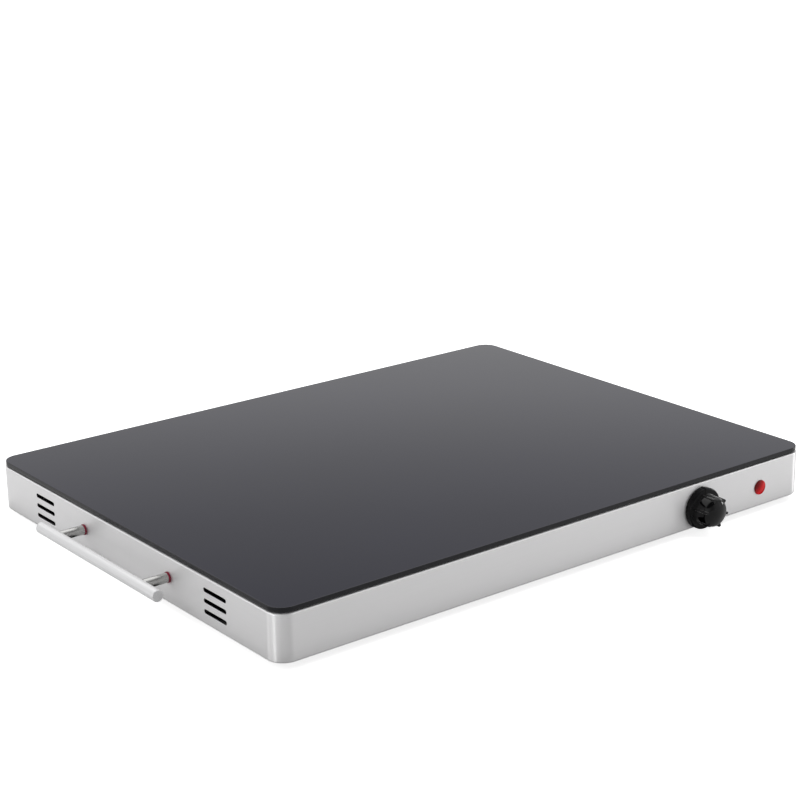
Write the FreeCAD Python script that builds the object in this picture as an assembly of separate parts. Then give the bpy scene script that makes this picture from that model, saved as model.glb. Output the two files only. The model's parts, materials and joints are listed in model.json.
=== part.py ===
import FreeCAD, Part
import math
import os

# Electric food warmer tray: a black glass top on a low band of brushed
# stainless steel, a bar handle on each short side, one thermostat knob and a
# red indicator lamp on the front long side.
# Millimetres. +X right, +Y back, +Z up, z = 0 is the table.

# Casing band
case_length = 550.0
case_depth = 420.0
band_height = 38.0
sheet = 0.8
corner_radius = 14.5
bend_radius = 1.3
top_flange = 14.0
bottom_flange = 16.0
least_corner = 3.0

# Glass top and its seal
glass_thickness = 4.0
glass_inset = 0.7
glass_edge = 0.6
seal_thickness = 0.8
seal_width = 7.0
seal_inset = 3.0

# Base plate and feet
base_thickness = 0.8
base_inset = 5.0
base_screw_inset = 11.0
base_screw_rows = 3
base_screw_grip = 4.0
louvre_length = 34.0
louvre_width = 3.0
louvre_pitch = 9.0
louvre_count = 6
louvre_place_x = 120.0
louvre_place_y = 75.0
foot_height = 6.0
foot_top_radius = 11.0
foot_bottom_radius = 9.5
foot_inset_x = 52.0
foot_inset_y = 50.0
foot_recess_radius = 5.0
foot_floor = 2.4
foot_rounding = 0.8

# Vents in the two short sides
vent_length = 30.2
vent_width = 3.5
vent_pitch = 8.65
vent_count = 3
vent_height = 19.5
vent_place = 129.0

# Handles
handle_height = 21.5
post_spacing = 128.0
post_radius = 4.0
bar_radius = 4.75
bar_length = 181.0
bar_offset = 25.0
bar_end_chamfer = 0.5
least_post_seat = 0.5
handle_washer_radius = 4.5
handle_washer_thickness = 1.6
backing_washer_radius = 6.0
backing_washer_thickness = 1.0
handle_screw_length = 12.0
thread_spare = 0.5

# Screws, nuts and their holes
screw_radius = 1.5
screw_head_radius = 2.9
screw_head_height = 1.8
handle_screw_radius = 2.0
handle_screw_head_radius = 3.8
handle_screw_head_height = 2.4
screw_spare = 1.2
head_round_share = 0.45
hole_clearance = 0.2
thread_clearance = 0.05
slip_clearance = 0.1
over_cut = 1.0
nut_across_flats = 5.5
nut_height = 2.2
recess_width = 0.8
recess_share = 0.62

# Knob, seen from the front as a skirt with a ribbed grip on it
knob_from_right = 127.0
knob_height = 17.1
knob_gap = 0.8
skirt_radius = 17.6
skirt_thickness = 5.8
skirt_edge = 1.2
grip_radius = 12.5
grip_root_radius = 13.0
grip_length = 16.1
grip_corner = 5.5
grip_crown_radius = 22.0
grip_ribs = 6
grip_rib_angle = 47.0
grip_rib_width = 2.2
grip_rib_height = 0.9
grip_rib_setback = 2.8
grip_rib_root = 3.2
grip_rib_round = 0.8
rib_overlap = 0.2
pointer_width = 2.0
pointer_height = 0.7
knob_recess_radius = 10.5
knob_recess_depth = 5.0
knob_bore_depth = 13.0
clip_thickness = 0.3
clip_length = 6.0
clip_room_width = 3.3
clip_setback = 0.6
clip_seat_gap = 0.02

# Thermostat
shaft_radius = 3.0
shaft_flat = 1.8
shaft_reach = 13.0
shaft_clearance = 0.06
shaft_flat_setback = 1.0
bush_radius = 4.75
bush_flange_radius = 6.5
bush_flange = 1.5
bush_stickout = 3.6
bush_nut_flats = 13.0
bush_nut_height = 2.4
frame_width = 40.0
frame_height = 17.0
frame_thickness = 1.2
frame_overhang = 9.0
shaft_collar_radius = 4.2
shaft_collar = 1.6
pin_radius = 1.2
pin_length = 4.2
pin_seat = 3.0
stack_place = 17.0
stack_radius = 5.0
stack_rivet_radius = 1.4
stack_rivet_head = 0.9
stack_rivet_setback = 0.2
insulator_thickness = 3.6
blade_thickness = 0.5
blade_width = 6.0
blade_overhang = 4.0
blade_tab = 8.0
leaf_bend_gap = 0.6
leaf_reach = 4.0
strip_step = 1.0
strip_reach = 1.0
contact_margin = 0.3
contact_radius = 1.8
contact_thickness = 0.8
contact_gap = 0.7
running_gap = 0.3

# Indicator lamp
lens_from_right = 54.2
lens_height = 17.0
lens_radius = 6.4
lens_rim = 1.0
lens_dome = 1.1
lens_barrel_radius = 5.0
lens_barrel = 9.0
lens_wall = 1.0
lens_ring_radius = 7.0
lens_ring_thickness = 2.0
lamp_radius = 2.4
lamp_length = 11.0
lamp_plug_length = 5.0
lamp_plug_wall = 1.0
lamp_wire_radius = 0.5

# Heater stack under the glass, from the top down
heater_margin_x = 40.0
heater_margin_y = 40.0
spreader_thickness = 1.0
mica_thickness = 0.5
mica_inset = 2.0
ribbon_thickness = 0.3
ribbon_width = 4.0
ribbon_runs = 12
ribbon_margin = 24.0
mat_thickness = 6.0
shield_thickness = 0.6
shield_rim = 6.0
terminal_pin_radius = 1.5
terminal_pin_drop = 9.0
terminal_bush_radius = 4.0
terminal_bush_drop = 3.0
standoff_radius = 4.0
standoff_inset = 45.0

# Thermal cut-out under the heat shield
cutout_place_x = 40.0
cutout_place_y = -70.0
cutout_radius = 8.0
cutout_height = 9.0
cutout_cap = 3.0
cutout_rim = 1.5
cutout_tab = 7.0
cutout_tab_width = 6.3
cutout_tab_thickness = 0.8
cutout_plate_thickness = 0.8
cutout_plate_length = 34.0
cutout_plate_width = 18.0
cutout_foot = 6.0
cutout_screw_inset = 4.0

# Terminal block on the base plate
block_from_right = 140.0
block_place_y = -20.0
block_pole = 17.5
block_poles = 2
block_ends = 2.0
block_width = 18.0
block_height = 13.0
block_wire_spacing = 4.6
block_entry_depth = 5.0
block_well_place = 4.5
block_well_depth = 4.0
block_grub_radius = 2.2

# Mains inlet in the back wall
inlet_from_right = 88.0
inlet_height = 19.0
inlet_width = 27.0
inlet_tall = 19.0
inlet_corner = 4.0
inlet_flange_width = 48.0
inlet_flange_height = 23.0
inlet_flange = 2.4
inlet_flange_corner = 3.0
inlet_depth = 22.0
inlet_wall = 1.6
inlet_floor = 5.0
inlet_screw_spacing = 40.0
inlet_pin_thickness = 2.0
inlet_pin_width = 4.0
inlet_pin_reach = 14.0
inlet_pin_spacing = 7.0
inlet_pin_rise = 3.4
inlet_earth_offset = 0.8
inlet_pin_tail = 0.6
inlet_tab_length = 8.0
inlet_tab_thickness = 0.8

# Leads and the clips that hold them
lead_radius = 1.5
lamp_lead_radius = 0.9
clip_width = 8.0
clip_wall = 1.2
clip_margin = 0.6
live_clip_side = 24.0
live_clip_place = 30.0
heater_clip_reach = 60.0
earth_from_right = 60.0
earth_from_back = 90.0
earth_tag_width = 6.0
earth_tag_length = 12.0
earth_tag_flat = 2.0
earth_tag_thickness = 0.8

# Levels and places worked out from the sizes above
z_base = foot_height
z_case = z_base + base_thickness
z_floor = z_case
z_band_top = z_case + band_height
z_glass = z_band_top + seal_thickness
z_top = z_glass + glass_thickness
z_spreader = z_glass - spreader_thickness
z_mica_top = z_spreader - mica_thickness
z_ribbon = z_mica_top - ribbon_thickness
z_mica_low = z_ribbon - mica_thickness
z_mat = z_mica_low - mat_thickness
z_shield = z_mat - shield_thickness

knob_depth = knob_gap + skirt_thickness + grip_length
inlet_reach = inlet_flange + screw_head_height
case_y = (knob_depth - inlet_reach) / 2
half_x = case_length / 2
half_y = case_depth / 2
y_front = case_y - half_y
y_back = case_y + half_y
y_front_in = y_front + sheet
y_back_in = y_back - sheet

knob_x = half_x - knob_from_right
knob_z = z_case + knob_height
lens_x = half_x - lens_from_right
lens_z = z_case + lens_height
inlet_x = half_x - inlet_from_right
inlet_z = z_case + inlet_height
handle_z = z_case + handle_height

heater_x = case_length - 2 * heater_margin_x
heater_y = case_depth - 2 * heater_margin_y


def V(x, y, z):
    return FreeCAD.Vector(x, y, z)


X_AXIS = V(1, 0, 0)
Y_AXIS = V(0, 1, 0)
Z_AXIS = V(0, 0, 1)


# Shape helpers

def box(x0, x1, y0, y1, z0, z1):
    return Part.makeBox(x1 - x0, y1 - y0, z1 - z0, V(x0, y0, z0))


def rod(start, direction, radius, length):
    return Part.makeCylinder(radius, length, start, direction)


def pipe(start, direction, outer, inner, length):
    return rod(start, direction, outer, length).cut(rod(start, direction, inner, length))


def place(shape, point, direction):
    turned = shape.copy()
    turned.Placement = FreeCAD.Placement(point, FreeCAD.Rotation(Z_AXIS, direction))
    return turned


def rounded_face(cx, cy, width, depth, radius, z):
    a = width / 2
    b = depth / 2
    corners = [(1, 1, 0), (-1, 1, 90), (-1, -1, 180), (1, -1, 270)]
    edges = []
    ends = []
    for sx, sy, start in corners:
        centre = V(cx + sx * (a - radius), cy + sy * (b - radius), z)
        arc = Part.Arc(Part.Circle(centre, Z_AXIS, radius),
                       math.radians(start), math.radians(start + 90)).toShape()
        edges.append(arc)
        ends.append((arc.Vertexes[0].Point, arc.Vertexes[-1].Point))
    loop = []
    for i, arc in enumerate(edges):
        loop.append(arc)
        loop.append(Part.LineSegment(ends[i][1], ends[(i + 1) % 4][0]).toShape())
    return Part.Face(Part.Wire(loop))


def rounded_block(width, depth, radius, z, height, cx=0.0, cy=None):
    cy = case_y if cy is None else cy
    return rounded_face(cx, cy, width, depth, radius, z).extrude(V(0, 0, height))


def level_edges(shape, level):
    return [e for e in shape.Edges if all(abs(v.Z - level) < 1e-6 for v in e.Vertexes)]


def slot(length, width, thickness):
    # A slot along X in the XY plane, centred on the origin, cut along Z.
    r = width / 2
    run = (length - width) / 2
    body = box(-run, run, -r, r, -thickness / 2, thickness / 2)
    for side in (-run, run):
        body = body.fuse(rod(V(side, 0, -thickness / 2), Z_AXIS, r, thickness))
    return body.removeSplitter()


def screw(point, direction, radius, length, head_radius, head_height):
    # The seat is at the point, the shank runs along the direction.
    head = rod(V(0, 0, -head_height), Z_AXIS, head_radius, head_height)
    head = head.makeFillet(head_height * head_round_share, level_edges(head, -head_height))
    arm = head_radius * recess_share
    half = recess_width / 2
    depth = -head_height * head_round_share
    cross = box(-arm, arm, -half, half, -head_height, depth)
    cross = cross.fuse(box(-half, half, -arm, arm, -head_height, depth))
    shank = rod(V(0, 0, 0), Z_AXIS, radius, length)
    return place(head.fuse(shank).cut(cross), point, direction)


def hexagon(point, direction, across_flats, height, hole):
    corner = across_flats / math.sqrt(3)
    points = []
    for i in range(7):
        a = math.radians(60 * i + 30)
        points.append(V(corner * math.cos(a), corner * math.sin(a), 0))
    prism = Part.Face(Part.makePolygon(points)).extrude(V(0, 0, height))
    prism = prism.cut(rod(V(0, 0, -over_cut), Z_AXIS, hole, height + 2 * over_cut))
    return place(prism, point, direction)


def dome_middle(radius, height):
    # The middle point of an arc that is level on its axis and drops by the
    # height at the radius: its distance from the axis and its height.
    big = (radius ** 2 + height ** 2) / (2 * height)
    half = math.asin(radius / big) / 2
    return big * math.sin(half), height - big * (1 - math.cos(half))


def crown_join(radius, corner, crown):
    # A rounded end whose corner arc runs smoothly into a wide crown arc: how
    # far the corner arc starts below the top, and the angle where they meet.
    rise = math.sqrt((crown - corner) ** 2 - (radius - corner) ** 2)
    return crown - rise, math.atan2(rise, radius - corner)


def group(shapes):
    return Part.makeCompound(shapes)


def save(name, shape):
    shape.exportStep("parts/" + name + ".step")
    print(name, len(shape.Solids), "solid(s)", round(shape.Volume, 1), "mm3")


# Places that repeat

def foot_points():
    x = half_x - foot_inset_x
    y = half_y - foot_inset_y
    return [(sx * x, case_y + sy * y) for sx in (-1, 1) for sy in (-1, 1)]


def base_screw_points():
    x = half_x - base_screw_inset
    y = half_y - base_screw_inset
    points = []
    for i in range(base_screw_rows):
        share = (i + 0.5) / base_screw_rows * 2 - 1
        points.append((share * x, case_y - y))
        points.append((share * x, case_y + y))
    for sx in (-1, 1):
        for sy in (-0.5, 0.5):
            points.append((sx * x, case_y + sy * y))
    return points


def handle_points(side):
    wall = side * half_x
    return [V(wall, case_y + s * post_spacing / 2, handle_z) for s in (-1, 1)]


def standoff_points():
    x = heater_x / 2 - standoff_inset
    y = heater_y / 2 - standoff_inset
    return [(sx * x, case_y + sy * y) for sx in (-1, 0, 1) for sy in (-1, 1)]


def louvre_points():
    points = []
    for side in (-1, 1):
        for i in range(louvre_count):
            x = side * louvre_place_x + (i - (louvre_count - 1) / 2) * louvre_pitch
            points.append((x, case_y + louvre_place_y))
    return points


def terminal_points():
    x = heater_x / 2 - ribbon_margin
    y = heater_y / 2 - ribbon_margin
    return [(-x, case_y - y), (-x, case_y + y)]


# Casing, glass and base

def make_casing_band():
    outer = rounded_block(case_length, case_depth, corner_radius, z_case, band_height)
    rims = level_edges(outer, z_case) + level_edges(outer, z_band_top)
    outer = outer.makeFillet(bend_radius, rims)
    hollow = rounded_block(case_length - 2 * sheet, case_depth - 2 * sheet, corner_radius - sheet,
                           z_case + sheet, band_height - 2 * sheet)
    inner_bend = bend_radius - sheet
    if inner_bend > 0.05:
        rims = level_edges(hollow, z_case + sheet)
        rims += level_edges(hollow, z_band_top - sheet)
        hollow = hollow.makeFillet(inner_bend, rims)
    band = outer.cut(hollow)
    for width, level in ((top_flange, z_band_top - 2 * sheet), (bottom_flange, z_case - sheet)):
        window = rounded_block(case_length - 2 * width, case_depth - 2 * width,
                               max(corner_radius - width, least_corner), level, 3 * sheet)
        band = band.cut(window)
    cuts = []
    vent = slot(vent_length, vent_width, 4 * sheet)
    for side in (-1, 1):
        for end in (-1, 1):
            for i in range(vent_count):
                z = z_case + vent_height + (i - (vent_count - 1) / 2) * vent_pitch
                shape = vent.copy()
                shape.rotate(V(0, 0, 0), X_AXIS, 90)
                shape.rotate(V(0, 0, 0), Z_AXIS, 90)
                shape.translate(V(side * (half_x - sheet / 2), case_y + end * vent_place, z))
                cuts.append(shape)
        for point in handle_points(side):
            start = point - V(side * 2 * sheet, 0, 0)
            cuts.append(rod(start, V(side, 0, 0), handle_screw_radius + hole_clearance, 4 * sheet))
    front = V(knob_x, y_front - sheet, knob_z)
    cuts.append(rod(front, Y_AXIS, bush_radius + hole_clearance, 3 * sheet))
    front = V(lens_x, y_front - sheet, lens_z)
    cuts.append(rod(front, Y_AXIS, lens_barrel_radius + hole_clearance, 3 * sheet))
    back = y_back_in - sheet
    cuts.append(inlet_outline(hole_clearance, back, 3 * sheet))
    for s in (-1, 1):
        start = V(inlet_x + s * inlet_screw_spacing / 2, back, inlet_z)
        cuts.append(rod(start, Y_AXIS, screw_radius + hole_clearance, 3 * sheet))
    for x, y in base_screw_points():
        start = V(x, y, z_case - sheet)
        cuts.append(rod(start, Z_AXIS, screw_radius + hole_clearance, 3 * sheet))
    return band.cut(cuts)


def make_glass():
    width = case_length - 2 * glass_inset
    depth = case_depth - 2 * glass_inset
    glass = rounded_block(width, depth, corner_radius - glass_inset, z_glass, glass_thickness)
    edge = min(glass_edge, glass_thickness / 3)
    glass = glass.makeChamfer(edge, level_edges(glass, z_top) + level_edges(glass, z_glass))
    return glass


def make_seal():
    outer = rounded_block(case_length - 2 * seal_inset, case_depth - 2 * seal_inset,
                          corner_radius - seal_inset, z_band_top, seal_thickness)
    reach = seal_inset + seal_width
    inner = rounded_block(case_length - 2 * reach, case_depth - 2 * reach,
                          max(corner_radius - reach, least_corner), z_band_top, seal_thickness)
    return outer.cut(inner)


def make_base_plate():
    plate = rounded_block(case_length - 2 * base_inset, case_depth - 2 * base_inset,
                          corner_radius - base_inset, z_base, base_thickness)
    cuts = []
    shank = screw_radius + hole_clearance
    through = base_thickness + 2 * over_cut
    for x, y in base_screw_points() + foot_points() + standoff_points() + block_screw_points():
        cuts.append(rod(V(x, y, z_base - over_cut), Z_AXIS, shank, through))
    for x, y in louvre_points():
        shape = slot(louvre_length, louvre_width, through)
        shape.rotate(V(0, 0, 0), Z_AXIS, 90)
        shape.translate(V(x, y, z_base + base_thickness / 2))
        cuts.append(shape)
    for point in (earth_point(), inlet_clip_point(), block_clip_point()):
        cuts.append(rod(V(point.x, point.y, z_base - over_cut), Z_AXIS, shank, through))
    return plate.cut(cuts)


def make_base_screws():
    length = base_thickness + sheet + base_screw_grip
    return [screw(V(x, y, z_base), Z_AXIS, screw_radius, length, screw_head_radius,
                  screw_head_height) for x, y in base_screw_points()]


def make_feet():
    feet = []
    for x, y in foot_points():
        foot = Part.makeCone(foot_bottom_radius, foot_top_radius, foot_height, V(x, y, 0))
        foot = foot.makeFillet(foot_rounding, level_edges(foot, 0.0))
        recess = rod(V(x, y, -over_cut), Z_AXIS, foot_recess_radius,
                     foot_height - foot_floor + over_cut)
        hole = rod(V(x, y, -over_cut), Z_AXIS, screw_radius + hole_clearance,
                   foot_height + 2 * over_cut)
        feet.append(foot.cut([recess, hole]))
    return feet


def make_feet_screws():
    seat = foot_height - foot_floor
    length = foot_floor + base_thickness + nut_height + screw_spare
    return [screw(V(x, y, seat), Z_AXIS, screw_radius, length, screw_head_radius,
                  screw_head_height) for x, y in foot_points()]


def make_feet_nuts():
    return [hexagon(V(x, y, z_floor), Z_AXIS, nut_across_flats, nut_height,
                    screw_radius + hole_clearance / 2) for x, y in foot_points()]


# Handles

def make_handle_bar(side):
    x = side * (half_x + bar_offset)
    start = V(x, case_y - bar_length / 2, handle_z)
    bar = rod(start, Y_AXIS, bar_radius, bar_length)
    ends = [e for e in bar.Edges if e.Curve.TypeId == "Part::GeomCircle"]
    bar = bar.makeChamfer(bar_end_chamfer, ends)
    for point in handle_points(side):
        seat = V(x - side * seat_depth(), point.y, point.z)
        bar = bar.cut(rod(seat, V(-side, 0, 0), post_radius + hole_clearance / 2, bar_radius))
    return bar


def seat_depth():
    # The bar is milled flat where a post ends, just past the post's width.
    square = bar_radius ** 2 - (post_radius + hole_clearance) ** 2
    return math.sqrt(max(square, least_post_seat ** 2))


def make_handle_posts():
    length = bar_offset - handle_washer_thickness - seat_depth()
    posts = []
    for side in (-1, 1):
        for point in handle_points(side):
            start = point + V(side * handle_washer_thickness, 0, 0)
            post = rod(start, V(side, 0, 0), post_radius, length)
            thread = rod(start, V(side, 0, 0), handle_screw_radius + thread_clearance,
                         thread_depth())
            posts.append(post.cut(thread))
    return posts


def thread_depth():
    passed = backing_washer_thickness + sheet + handle_washer_thickness
    return handle_screw_length - passed + thread_spare


def make_handle_washers():
    washers = []
    for side in (-1, 1):
        for point in handle_points(side):
            washers.append(pipe(point, V(side, 0, 0), handle_washer_radius,
                                handle_screw_radius + hole_clearance, handle_washer_thickness))
    return washers


def make_backing_washers():
    washers = []
    for side in (-1, 1):
        for point in handle_points(side):
            start = point - V(side * (sheet + backing_washer_thickness), 0, 0)
            washers.append(pipe(start, V(side, 0, 0), backing_washer_radius,
                                handle_screw_radius + hole_clearance, backing_washer_thickness))
    return washers


def make_handle_screws():
    screws = []
    for side in (-1, 1):
        for point in handle_points(side):
            seat = point - V(side * (sheet + backing_washer_thickness), 0, 0)
            screws.append(screw(seat, V(side, 0, 0), handle_screw_radius, handle_screw_length,
                                handle_screw_head_radius, handle_screw_head_height))
    return screws


# Knob. Its profile turns about the shaft, with y growing towards the user.

def knob_point(radius, out):
    return V(knob_x + radius, y_front - out, knob_z)


def knob_arc(centre_radius, centre_out, radius, start, end):
    points = []
    for angle in (start, (start + end) / 2, end):
        points.append(knob_point(centre_radius + radius * math.cos(angle),
                                 centre_out + radius * math.sin(angle)))
    return Part.Arc(*points).toShape()


def d_bore(radius, flat, start, length):
    # A round bore with one flat, along the shaft's axis.
    bore = rod(V(knob_x, y_front - start, knob_z), V(0, -1, 0), radius, length)
    keep = box(knob_x - radius, knob_x + radius, y_front - start - length, y_front - start,
               knob_z + flat, knob_z + radius)
    return bore.cut(keep)


def make_knob():
    back = knob_gap
    skirt_front = back + skirt_thickness
    front = skirt_front + grip_length
    drop, meet = crown_join(grip_radius, grip_corner, grip_crown_radius)
    quarter = math.pi / 2
    rim = skirt_radius - skirt_edge
    p = [knob_point(0, back), knob_point(skirt_radius, back),
         knob_point(skirt_radius, skirt_front - skirt_edge), knob_point(rim, skirt_front),
         knob_point(grip_root_radius, skirt_front), knob_point(grip_radius, front - drop)]
    edges = [Part.LineSegment(p[i], p[i + 1]).toShape() for i in range(2)]
    edges.append(knob_arc(rim, skirt_front - skirt_edge, skirt_edge, 0, quarter))
    edges += [Part.LineSegment(p[i], p[i + 1]).toShape() for i in (3, 4)]
    edges.append(knob_arc(grip_radius - grip_corner, front - drop, grip_corner, 0, meet))
    edges.append(knob_arc(0, front - grip_crown_radius, grip_crown_radius, meet, quarter))
    edges.append(Part.LineSegment(knob_point(0, front), p[0]).toShape())
    axis_point = V(knob_x, y_front, knob_z)
    body = Part.Face(Part.Wire(edges)).revolve(axis_point, Y_AXIS, 360)
    for i in range(grip_ribs):
        body = body.fuse(knob_rib(i, skirt_front, front))
    body = body.fuse(knob_pointer(back, skirt_front))
    recess = rod(V(knob_x, y_front - back, knob_z), V(0, -1, 0), knob_recess_radius,
                 knob_recess_depth)
    bore = d_bore(shaft_radius + hole_clearance / 2, shaft_flat + hole_clearance / 2,
                  back, knob_bore_depth)
    clip_room = box(knob_x - clip_half(), knob_x + clip_half(),
                    y_front - clip_start() - clip_length - running_gap, y_front - back,
                    knob_z + shaft_flat, knob_z + shaft_flat + clip_thickness + 2 * running_gap)
    return body.cut([recess, bore, clip_room]).removeSplitter()


def knob_rib(i, skirt_front, front):
    inner = grip_radius - grip_rib_root
    outer = grip_radius + grip_rib_height
    start = skirt_front - rib_overlap
    end = front - grip_rib_setback
    rib = box(inner, outer, -end, -start, -grip_rib_width / 2, grip_rib_width / 2)
    tip = [e for e in rib.Edges if all(abs(v.X - outer) < 1e-6 for v in e.Vertexes)
           and all(abs(v.Y + end) < 1e-6 for v in e.Vertexes)]
    rib = rib.makeFillet(min(grip_rib_height, grip_rib_round), tip)
    rib.rotate(V(0, 0, 0), Y_AXIS, -(grip_rib_angle + 360.0 * i / grip_ribs))
    rib.translate(V(knob_x, y_front, knob_z))
    return rib


def knob_pointer(back, skirt_front):
    top = skirt_radius + pointer_height
    ridge = box(-pointer_width / 2, pointer_width / 2, -(skirt_front + pointer_height * 0.5),
                -back, grip_radius, top)
    ridge.translate(V(knob_x, y_front, knob_z))
    return ridge


def clip_half():
    return clip_room_width / 2


def clip_start():
    return knob_gap + knob_recess_depth + clip_setback


def make_knob_clip():
    # A leaf spring between the shaft's flat and the knob, with a small lip.
    z = knob_z + shaft_flat + clip_seat_gap
    half = clip_half() - slip_clearance
    y = y_front - clip_start()
    leaf = box(knob_x - half, knob_x + half, y - clip_length, y, z, z + clip_thickness)
    lip = box(knob_x - half, knob_x + half, y - clip_thickness, y, z,
              z + clip_thickness + running_gap)
    return leaf.fuse(lip).removeSplitter()


# Thermostat, behind the front wall on the knob's axis

def y_frame():
    return y_front_in + frame_thickness


def y_collar():
    return y_frame() + bush_flange + running_gap


def y_leaf():
    # Front face of the leaf that the adjusting pin presses.
    return y_collar() + shaft_collar + pin_length + running_gap


def y_bimetal():
    return y_leaf() + blade_thickness + insulator_thickness


def y_strip():
    return y_leaf() + blade_thickness + 2 * contact_thickness + contact_gap


def stack_x():
    return knob_x - stack_place


def make_thermostat_frame():
    y0 = y_front_in
    y1 = y_frame()
    x0 = stack_x() - frame_overhang
    plate = box(x0, x0 + frame_width, y0, y1, knob_z - frame_height / 2,
                knob_z + frame_height / 2)
    through = frame_thickness + 2 * over_cut
    cuts = [rod(V(knob_x, y0 - over_cut, knob_z), Y_AXIS, bush_radius + hole_clearance, through),
            rod(V(stack_x(), y0 - over_cut, knob_z), Y_AXIS,
                stack_rivet_radius + hole_clearance / 2, through)]
    return plate.cut(cuts)


def make_bush():
    flange = rod(V(knob_x, y_frame(), knob_z), Y_AXIS, bush_flange_radius, bush_flange)
    barrel = rod(V(knob_x, y_frame(), knob_z), V(0, -1, 0), bush_radius,
                 frame_thickness + sheet + bush_stickout)
    whole = bush_stickout + sheet + frame_thickness + bush_flange
    bore = rod(V(knob_x, y_front - bush_stickout - over_cut, knob_z), Y_AXIS,
               shaft_radius + shaft_clearance, whole + 2 * over_cut)
    return flange.fuse(barrel).cut(bore).removeSplitter()


def make_bush_nut():
    return hexagon(V(knob_x, y_front, knob_z), V(0, -1, 0), bush_nut_flats, bush_nut_height,
                   bush_radius + hole_clearance / 2)


def make_shaft():
    start = V(knob_x, y_collar(), knob_z)
    length = y_collar() - (y_front - shaft_reach)
    shaft = rod(start, V(0, -1, 0), shaft_radius, length)
    flat_from = y_front - bush_stickout - shaft_flat_setback
    flat = box(knob_x - shaft_radius, knob_x + shaft_radius, y_front - shaft_reach - over_cut,
               flat_from, knob_z + shaft_flat, knob_z + shaft_radius + over_cut)
    collar = rod(start, Y_AXIS, shaft_collar_radius, shaft_collar)
    socket = rod(V(knob_x, y_collar() + shaft_collar, knob_z), V(0, -1, 0),
                 pin_radius + shaft_clearance, pin_seat)
    return shaft.cut(flat).fuse(collar).cut(socket).removeSplitter()


def make_adjuster_pin():
    # The pin is guided by the shaft's socket and stays clear of its end.
    start = y_collar() + shaft_collar - pin_seat + running_gap
    return rod(V(knob_x, start, knob_z), Y_AXIS, pin_radius, y_leaf() - running_gap - start)


def blade(y, x_end, tab_side):
    half = blade_width / 2
    x0 = stack_x() - stack_radius - blade_overhang - blade_tab * tab_side
    plate = box(x0, x_end, y, y + blade_thickness, knob_z - half, knob_z + half)
    hole = rod(V(stack_x(), y - over_cut, knob_z), Y_AXIS,
               stack_rivet_radius + hole_clearance / 2, blade_thickness + 2 * over_cut)
    return plate.cut(hole)


def leaf_hinge_x():
    # The leaf bends where it leaves the stack of insulators.
    return stack_x() + stack_radius + leaf_bend_gap


def leaf_end_x():
    return knob_x + leaf_reach


def contact_x():
    return leaf_end_x() - contact_radius - contact_margin


def make_leaf():
    x0 = leaf_hinge_x() + running_gap
    half = blade_width / 2
    return box(x0, leaf_end_x(), y_leaf(), y_leaf() + blade_thickness, knob_z - half,
               knob_z + half)


def make_leaf_root():
    return blade(y_leaf(), leaf_hinge_x(), 1)


def make_moving_contact():
    return rod(V(contact_x(), y_leaf() + blade_thickness, knob_z), Y_AXIS, contact_radius,
               contact_thickness)


def make_fixed_contact():
    start = y_strip() - contact_thickness
    return rod(V(contact_x(), start, knob_z), Y_AXIS, contact_radius, contact_thickness)


def make_fixed_strip():
    # The strip is joggled, so that its contact stands close to the leaf.
    far = leaf_end_x() + strip_reach
    x1 = stack_x() + stack_radius + strip_step
    root = blade(y_bimetal(), x1, 1)
    half = blade_width / 2
    if y_strip() < y_bimetal() - 0.01:
        step = box(x1 - blade_thickness, x1, y_strip(), y_bimetal() + blade_thickness,
                   knob_z - half, knob_z + half)
    else:
        step = box(x1 - blade_thickness, x1, y_bimetal(), y_strip() + blade_thickness,
                   knob_z - half, knob_z + half)
    arm = box(x1 - blade_thickness, far, y_strip(), y_strip() + blade_thickness,
              knob_z - half, knob_z + half)
    return root.fuse([step, arm]).removeSplitter()


def insulator_ring(y, thickness):
    return pipe(V(stack_x(), y, knob_z), Y_AXIS, stack_radius,
                stack_rivet_radius + hole_clearance / 2, thickness)


def y_last_ring():
    return y_bimetal() + blade_thickness


def y_bimetal_blade():
    return y_last_ring() + insulator_thickness


def make_insulators():
    first = insulator_ring(y_frame(), y_leaf() - y_frame())
    second = insulator_ring(y_leaf() + blade_thickness, insulator_thickness)
    third = insulator_ring(y_last_ring(), insulator_thickness)
    return [first, second, third]


def make_bimetal_blade():
    return blade(y_bimetal_blade(), leaf_end_x(), 0)


def make_stack_rivet():
    back = y_bimetal_blade() + blade_thickness
    start = y_front_in + stack_rivet_setback
    shank = rod(V(stack_x(), start, knob_z), Y_AXIS, stack_rivet_radius, back - start)
    head = rod(V(stack_x(), back, knob_z), Y_AXIS, stack_rivet_radius * 2, stack_rivet_head)
    return shank.fuse(head).removeSplitter()


# Indicator lamp

def lens_point(radius, out):
    return V(lens_x + radius, y_front - out, lens_z)


def make_lens():
    reach, rise = dome_middle(lens_radius, lens_dome)
    mid = lens_point(reach, lens_rim + rise)
    edges = [Part.LineSegment(lens_point(0, 0), lens_point(lens_radius, 0)).toShape(),
             Part.LineSegment(lens_point(lens_radius, 0),
                              lens_point(lens_radius, lens_rim)).toShape(),
             Part.Arc(lens_point(lens_radius, lens_rim), mid,
                      lens_point(0, lens_rim + lens_dome)).toShape(),
             Part.LineSegment(lens_point(0, lens_rim + lens_dome), lens_point(0, 0)).toShape()]
    cap = Part.Face(Part.Wire(edges)).revolve(V(lens_x, y_front, lens_z), Y_AXIS, 360)
    barrel = rod(V(lens_x, y_front, lens_z), Y_AXIS, lens_barrel_radius, lens_barrel)
    hollow = rod(V(lens_x, y_front + lens_wall, lens_z), Y_AXIS, lens_barrel_radius - lens_wall,
                 lens_barrel)
    return cap.fuse(barrel).cut(hollow).removeSplitter()


def make_lens_ring():
    return pipe(V(lens_x, y_front_in, lens_z), Y_AXIS, lens_ring_radius,
                lens_barrel_radius + hole_clearance / 2, lens_ring_thickness)


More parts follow.
